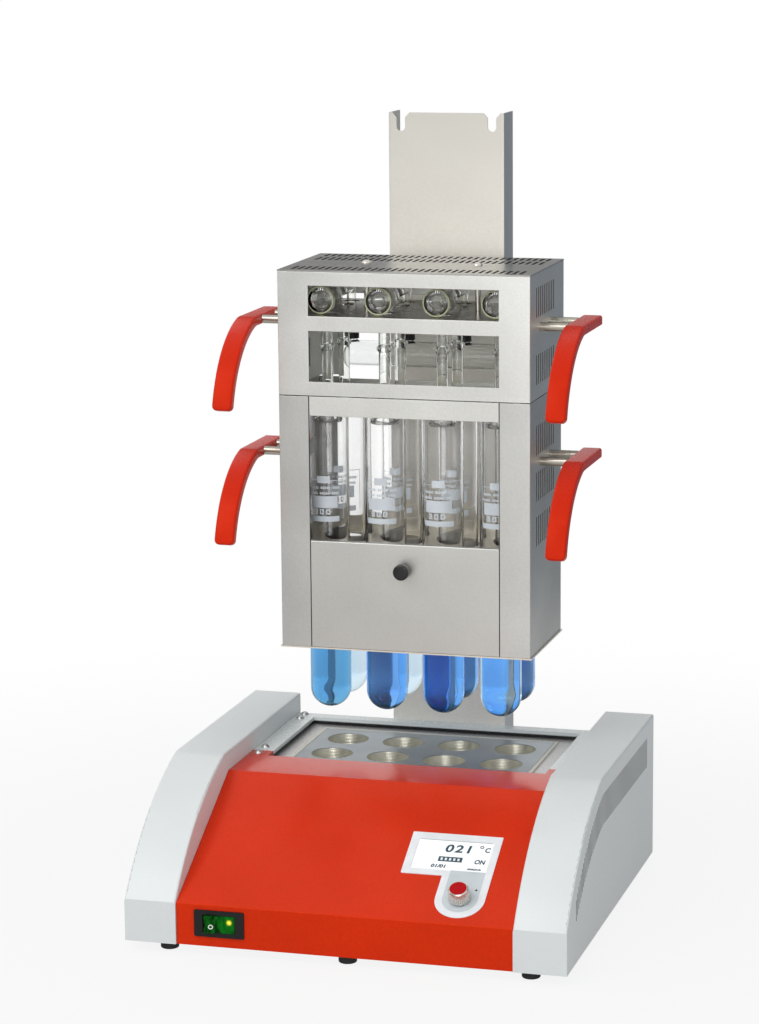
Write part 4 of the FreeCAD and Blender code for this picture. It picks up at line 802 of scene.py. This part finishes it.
def bulb_profile():
    """Wall of the lying bulb: thick rounded front rim, dished front, taper to the neck."""
    front = 250.0
    outside = [(0.0, front + 1.6), (5.5, front + 1.3), (9.0, front + 0.6)]
    outside += arc_points(bulb_radius - 3.0, front + 3.0, 3.0, -90, 0, 8)
    outside += [(bulb_radius, 262.0), (bulb_radius - 0.2, 280.0), (bulb_radius - 1.2, 286.5),
                (bulb_radius - 3.6, 292.5), (bulb_radius - 6.6, 298.0), (5.4, 303.0),
                (5.0, 308.0), (5.0, 330.0)]
    inside = [(5.0 - glass_wall, 330.0), (5.0 - glass_wall, 307.0),
              (bulb_radius - 7.8, 299.0), (bulb_radius - 5.0, 292.5),
              (bulb_radius - 2.7, 286.0), (bulb_radius - 1.8, 279.0),
              (bulb_radius - 1.8, 259.0), (bulb_radius - 3.2, 255.0),
              (bulb_radius - 5.6, 253.2), (5.0, 253.0), (0.0, 253.1)]
    return outside + inside


def glass_heads():
    for index, x in enumerate(column_xs):
        forms = [spun(stem_profile(bead), (x, y, 0))
                 for y, bead in zip(row_ys, stem_beads)]
        forms.append(spun(bulb_profile(), (x, -depth_shift, bulb_height), (0, 1, 0),
                          closed=False))
        down = [(x, 331.0 - depth_shift, bulb_height), (x, 350.0 - depth_shift, bulb_height),
                (x, outlet_y, bulb_height), (x, outlet_y, bulb_height - 12.0),
                (x, outlet_y, outlet_foot)]
        forms.append(drawn_tube(down, outlet_radius, glass_wall))
        name = "glass_head_%d" % (index + 1)
        lets_light_through(add_piece(name + "_blown", joined(forms), finishes["head_glass"],
                                     "hood", (name,)))
        # Rim bead whose pale colour is a painted highlight
        bead = arc_points(rim_radius, rim_front, rim_bead, 0, 345, 15)
        ring = spun(bead, (x, -depth_shift, bulb_height), (0, 1, 0))
        lets_light_through(add_piece(name + "_rim", ring, lit_rim_glass, "hood"))


def manifold_profile():
    """Wall of the collecting tube, with round closed ends."""
    left, right = manifold_ends
    outer = manifold_radius
    inner = outer - glass_wall
    low = arc_points(outer - 7.0, left + 7.0, 7.0, -90, 0, 8)
    high = arc_points(outer - 7.0, right - 7.0, 7.0, 0, 90, 8)
    wall_low = arc_points(inner - 5.6, left + 7.0, 5.6, 0, -90, 8)
    wall_high = arc_points(inner - 5.6, right - 7.0, 5.6, 90, 0, 8)
    outside = [(0, left)] + low + high + [(0, right)]
    inside = [(0, right - glass_wall)] + wall_high + wall_low + [(0, left + glass_wall)]
    return [outside, inside]


def glass_manifold():
    """Collecting tube under the shelf with a neck for each outlet and a hose nozzle."""
    forms = []
    for profile in manifold_profile():
        forms.append(spun(profile, (0, outlet_y, manifold_height), (1, 0, 0), closed=False))
    inner = forms[1]
    bmesh.ops.reverse_faces(inner, faces=inner.faces)
    for x in column_xs:
        base = manifold_height + manifold_radius
        neck = [(8.2, base - 1.2), (6.2, base + 0.4), (5.3, base + 2.6), (5.0, base + 6.0),
                (5.0, 571.0), (3.6, 571.0), (3.6, base + 5.0), (5.0, base + 0.2)]
        forms.append(spun(neck, (x, outlet_y, 0)))
    behind = outlet_y + manifold_radius
    foot = [(7.0, -1.6), (7.0, 1.6), (6.5, 2.0), (5.3, 2.2), (5.0, 3.0), (5.0, 6.0), (5.0, 10.0)]
    barbs = [(5.5, 12.0), (4.6, 14.0), (5.5, 16.0), (4.6, 18.0), (5.4, 20.0), (4.3, 22.0)]
    nozzle = foot + barbs + [(3.0, 22.0), (3.0, 4.0), (4.4, 1.0)]
    forms.append(spun(nozzle, (nozzle_x, behind, manifold_height), (0, 1, 0)))
    lets_light_through(add_piece("glass_manifold_blown", joined(forms),
                                 finishes["manifold_glass"], "hood",
                                 ("glass_manifold",)))


def on_slope(form):
    """Turns a form drawn flat onto the control panel's slope."""
    turn = Matrix.Translation(slope_foot * mm) @ Matrix.Rotation(slope_angle, 4, "X")
    bmesh.ops.transform(form, matrix=turn, verts=form.verts)
    return form


def slab(form, x0, x1, y0, y1, z0, z1):
    size = Matrix.Diagonal(((x1 - x0) * mm, (y1 - y0) * mm, (z1 - z0) * mm, 1))
    middle = Matrix.Translation(Vector((x0 + x1, y0 + y1, z0 + z1)) * mm / 2)
    return bmesh.ops.create_cube(form, size=1.0, matrix=middle @ size)["verts"]


def hollowed(disc, width):
    """Leaves only a ring of the given width along the edge of a flat disc."""
    rim = bmesh.ops.inset_region(disc, faces=disc.faces, thickness=width * mm,
                                 use_boundary=True, use_even_offset=True)["faces"]
    bmesh.ops.delete(disc, geom=[face for face in disc.faces if face not in rim],
                     context="FACES")


def printed(text, x, s, size, lean, level, bold=0.0, width=1.15):
    """Flat text with its lower left corner at x, s on the panel, as a thin solid form."""
    line = bpy.data.curves.new("text", "FONT")
    line.body = text
    line.size = size * mm
    line.shear = lean
    line.offset = bold * mm
    line.extrude = 0.03 * mm
    form = form_of(line)
    place = Matrix.Translation(Vector((x, s, level)) * mm) @ Matrix.Diagonal((width, 1, 1, 1))
    bmesh.ops.transform(form, matrix=place, verts=form.verts)
    return form


# Places on the panel: across, and up the slope. Each text has its corner and its size.
screen_level = 0.64
film_level = 1.03
reading = (("0", 79.2, 95.0, 14.0), ("2", 88.9, 95.0, 14.0), ("1", 98.6, 95.0, 14.0),
           ("C", 118.6, 97.6, 8.6), ("ON", 111.6, 81.2, 7.8), ("01/01", 70.2, 73.2, 5.8),
           ("==>>", 106.6, 71.6, 5.2))
ink = 0.05
dark_field = (75.6, 99.4, 81.6, 88.2)
field_bars = (77.8, 4.2, 2.2, 83.2, 86.6)
degree_spot = (115.2, 104.0)
# Painted shadow line along the top edge of the screen
screen_shadow_line = (52.0, 125.0, 109.7, 110.3)


def display_figures():
    """Temperature reading, a dark field, a counter and the state on the display."""
    forms = [printed(text, x, s, size, 0.12, screen_level, 0.15 + size * 0.018,
                     0.85 if text in ("C", "ON") else 1.15) for text, x, s, size in reading]
    field = bmesh.new()
    slab(field, *dark_field, screen_level, screen_level + ink)
    forms.append(field)
    ring = bmesh.new()
    rim = bmesh.ops.create_circle(ring, cap_ends=True, segments=24, radius=2.0 * mm)["verts"]
    bmesh.ops.translate(ring, verts=rim, vec=Vector((*degree_spot, screen_level)) * mm)
    hollowed(ring, 0.9)
    bmesh.ops.solidify(ring, geom=ring.faces, thickness=-ink * mm)
    bmesh.ops.recalc_face_normals(ring, faces=ring.faces)
    forms.append(ring)
    add_piece("display_figures", on_slope(joined(forms)), display_ink, "base")
    # Painted shadow that the bezel window throws along the top of the screen.
    edge = bmesh.new()
    slab(edge, *screen_shadow_line, screen_level, screen_level + 0.04)
    add_piece("display_edge_line", on_slope(edge), screen_shadow_ink, "base")
    bars = bmesh.new()
    first, pitch, width, low, high = field_bars
    for step in range(5):
        left = first + step * pitch
        slab(bars, left, left + width, low, high, screen_level + ink, screen_level + 0.08)
    add_piece("display_field_bars", on_slope(bars), finishes["bezel_film"], "base")


knob_x = 108.8
knob_s = 32.9
shade_radius = 17.4
shade_top = 70.0
star_spot = (122.1, 46.0)
star_radius = 1.9
star_waist = 0.45


def panel_prints():
    """Grey zone round the knob and a small dark mark on the film of the control panel."""
    forms = []
    half = bmesh.new()
    bmesh.ops.create_circle(half, cap_ends=True, segments=64, radius=shade_radius * mm)
    bmesh.ops.bisect_plane(half, geom=half.verts[:] + half.edges[:] + half.faces[:],
                           plane_co=(0, 0, 0), plane_no=(0, 1, 0), clear_outer=True)
    bmesh.ops.solidify(half, geom=half.faces, thickness=-0.03 * mm)
    bmesh.ops.translate(half, verts=half.verts, vec=Vector((knob_x, knob_s, film_level)) * mm)
    bmesh.ops.recalc_face_normals(half, faces=half.faces)
    forms.append(half)
    column = bmesh.new()
    slab(column, knob_x - shade_radius, knob_x + shade_radius, knob_s, shade_top, film_level,
         film_level + 0.03)
    forms.append(column)
    add_piece("panel_shade", on_slope(joined(forms)), bezel_shade, "base")
    star = bmesh.new()
    rim = bmesh.ops.create_circle(star, cap_ends=True, segments=8,
                                  radius=star_radius * mm)["verts"]
    for index, vert in enumerate(rim):
        if index % 2:
            vert.co *= star_waist
    bmesh.ops.solidify(star, geom=star.faces, thickness=-0.03 * mm)
    bmesh.ops.translate(star, verts=star.verts,
                        vec=Vector((*star_spot, film_level + 0.03)) * mm)
    bmesh.ops.recalc_face_normals(star, faces=star.faces)
    add_piece("panel_mark", on_slope(star), finishes["switch_plastic"], "base")


ring_spot = (-131.1, 31.3)
ring_radius = 2.4
ring_width = 0.95
rocker_left_edge = (-137.52, -226.89)
rocker_slope = (14.61, 3.94)


def rocker_ring():
    """Round mark for off, printed on the raised left half of the rocker."""
    x, z = ring_spot
    run, rise = rocker_slope
    y = rocker_left_edge[1] + (x - rocker_left_edge[0]) * rise / run
    form = bmesh.new()
    bmesh.ops.create_circle(form, cap_ends=True, segments=32, radius=ring_radius * mm)
    hollowed(form, ring_width)
    bmesh.ops.solidify(form, geom=form.faces, thickness=-0.06 * mm)
    bmesh.ops.recalc_face_normals(form, faces=form.faces)
    turn = (Matrix.Translation(Vector((x, y - 0.07, z)) * mm)
            @ Matrix.Rotation(math.atan2(rise, run), 4, "Z") @ Matrix.Rotation(math.pi / 2, 4, "X"))
    bmesh.ops.transform(form, matrix=turn, verts=form.verts)
    add_piece("rocker_ring", form, rocker_mark, "power_switch")


def splash_knob():
    """Short round-edged knob on a bush, with its stud through the shield."""
    low, high = (Vector(corner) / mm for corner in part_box("shield_knob"))
    middle = (low + high) / 2
    front = low.y
    cap = [(0, front)] + arc_points(6.2, front + 1.8, 1.8, -90, 0, 6)
    cap += [(8.0, front + 8.4), (7.4, front + 9.2), (0, front + 9.2)]
    add_piece("splash_knob_cap", spun(cap, (middle.x, 0, middle.z), (0, 1, 0), closed=False),
              finishes["knob_plastic"], "shield", ("shield_knob",))
    bush = [(0, front + 9.3), (6.2, front + 9.3), (6.2, front + 12.0), (4.6, front + 12.6),
            (4.0, front + 16.0), (2.0, front + 16.0), (2.0, front + 17.5), (3.5, front + 17.5),
            (3.5, front + 18.9), (0, front + 18.9)]
    add_piece("splash_knob_bush", spun(bush, (middle.x, 0, middle.z), (0, 1, 0), closed=False),
              knob_bush, "shield", ("shield_knob",))


def seen_clearly(tree):
    """One for rays from the camera, from gloss and through glass, and zero for soft light."""
    path = tree.nodes.new("ShaderNodeLightPath")
    total = path.outputs["Is Camera Ray"]
    for name in ("Is Glossy Ray", "Is Transmission Ray"):
        larger = tree.nodes.new("ShaderNodeMath")
        larger.operation = "MAXIMUM"
        tree.links.new(total, larger.inputs[0])
        tree.links.new(path.outputs[name], larger.inputs[1])
        total = larger.outputs["Value"]
    return total


def spread_by_distance(tree, reach, near, far, near_value, far_value):
    """A smooth change from the object's foot outwards."""
    spread = tree.nodes.new("ShaderNodeMapRange")
    spread.interpolation_type = "SMOOTHSTEP"
    spread.inputs["From Min"].default_value = near
    spread.inputs["From Max"].default_value = far
    spread.inputs["To Min"].default_value = near_value
    spread.inputs["To Max"].default_value = far_value
    tree.links.new(reach, spread.inputs["Value"])
    return spread.outputs["Result"]


def stage_floor():
    """Plain pale floor that keeps the object's shadow and runs into a white background."""
    form = bmesh.new()
    bmesh.ops.create_grid(form, x_segments=1, y_segments=1, size=floor_size)
    material = bpy.data.materials.new("floor_white")
    placed("floor", form, material)
    material.use_nodes = True
    tree = material.node_tree
    shader = tree.nodes["Principled BSDF"]
    shader.inputs["Base Color"].default_value = (floor_grey, floor_grey, floor_grey, 1)
    shader.inputs["Roughness"].default_value = 0.9
    shader.inputs["Specular IOR Level"].default_value = 0.1
    glow = tree.nodes.new("ShaderNodeEmission")
    glow.inputs["Color"].default_value = (1, 1, 1, 1)
    place = tree.nodes.new("ShaderNodeTexCoord")
    reach = tree.nodes.new("ShaderNodeVectorMath")
    reach.operation = "LENGTH"
    tree.links.new(place.outputs["Object"], reach.inputs[0])
    distance = reach.outputs["Value"]
    seen = spread_by_distance(tree, distance, floor_near, glow_far, floor_glow_near, 1.0)
    mirrored = spread_by_distance(tree, distance, floor_near, gloss_far, floor_gloss_near, 1.0)
    direct = tree.nodes.new("ShaderNodeLightPath").outputs["Is Camera Ray"]
    choice = tree.nodes.new("ShaderNodeMix")
    tree.links.new(direct, choice.inputs["Factor"])
    tree.links.new(mirrored, choice.inputs[2])
    tree.links.new(seen, choice.inputs[3])
    part = tree.nodes.new("ShaderNodeMath")
    part.operation = "MULTIPLY"
    tree.links.new(seen_clearly(tree), part.inputs[0])
    tree.links.new(choice.outputs[0], part.inputs[1])
    mix = tree.nodes.new("ShaderNodeMixShader")
    tree.links.new(part.outputs["Value"], mix.inputs["Fac"])
    tree.links.new(shader.outputs["BSDF"], mix.inputs[1])
    tree.links.new(glow.outputs["Emission"], mix.inputs[2])
    tree.links.new(mix.outputs["Shader"], tree.nodes["Material Output"].inputs["Surface"])


def stage_world():
    """White behind the object, with a softer grey light on it."""
    world = bpy.data.worlds.new("studio")
    bpy.context.scene.world = world
    world.use_nodes = True
    tree = world.node_tree
    plain = tree.nodes["Background"]
    plain.inputs["Color"].default_value = (1, 1, 1, 1)
    plain.inputs["Strength"].default_value = world_light
    seen = tree.nodes.new("ShaderNodeBackground")
    seen.inputs["Color"].default_value = (1, 1, 1, 1)
    seen.inputs["Strength"].default_value = 1.0
    mix = tree.nodes.new("ShaderNodeMixShader")
    tree.links.new(seen_clearly(tree), mix.inputs["Fac"])
    tree.links.new(plain.outputs["Background"], mix.inputs[1])
    tree.links.new(seen.outputs["Background"], mix.inputs[2])
    tree.links.new(mix.outputs["Shader"], tree.nodes["World Output"].inputs["Surface"])


def soft_light(name, place, target, size, power):
    light = bpy.data.lights.new(name, "AREA")
    light.shape = "RECTANGLE"
    light.size, light.size_y = size
    light.energy = power
    lamp = bpy.data.objects.new(name, light)
    lamp.location = place
    lamp.rotation_euler = (Vector(target) - Vector(place)).to_track_quat("-Z", "Y").to_euler()
    lamp.visible_camera = False
    bpy.context.scene.collection.objects.link(lamp)


def stage_lights():
    for name, setting in soft_boxes.items():
        soft_light(name, *setting)


def dark_card(name, start, end, low, high, colour):
    """Studio flag out of the camera's view, for the dark sides of bright metal."""
    form = bmesh.new()
    corners = ((*start, low), (*end, low), (*end, high), (*start, high))
    form.faces.new([form.verts.new(corner) for corner in corners])
    material = bpy.data.materials.new(name)
    material.use_nodes = True
    shader = material.node_tree.nodes["Principled BSDF"]
    shader.inputs["Base Color"].default_value = colour
    shader.inputs["Roughness"].default_value = 1.0
    card = placed(name, form, material)
    card.visible_camera = False
    card.visible_transmission = False


def stage_camera():
    turn, rise = math.radians(camera_azimuth), math.radians(camera_elevation)
    roll = math.radians(camera_roll)
    back = Vector((math.sin(turn) * math.cos(rise), -math.cos(turn) * math.cos(rise),
                   math.sin(rise)))
    level = Vector((math.cos(turn), math.sin(turn), 0))
    upright = back.cross(level)
    right = level * math.cos(roll) + upright * math.sin(roll)
    up = upright * math.cos(roll) - level * math.sin(roll)
    lens = bpy.data.cameras.new("camera")
    lens.lens = camera_lens
    lens.sensor_width = camera_sensor
    lens.clip_end = 100.0
    camera = bpy.data.objects.new("camera", lens)
    axes = Matrix((right, up, back)).transposed()
    camera.matrix_world = Matrix.Translation(camera_place) @ axes.to_4x4()
    bpy.context.scene.collection.objects.link(camera)
    bpy.context.scene.camera = camera


stage_camera()
stage_world()
stage_floor()
stage_lights()
for name, setting in flags.items():
    dark_card(name, *setting)

spun_nodes = ["sample_liquids", "glass_manifold", "shield_knob"]
spun_nodes += ["sample_tube_%d" % number for number in range(1, 9)]
spun_nodes += ["glass_head_%d" % number for number in range(1, 5)]
sample_tubes()
glass_heads()
glass_manifold()
display_figures()
panel_prints()
rocker_ring()
splash_knob()
for node in sorted(nodes):
    if node not in spun_nodes:
        refined(node, edge_width=edge_widths.get(node, 0.0))

bpy.context.scene.view_settings.view_transform = "Standard"
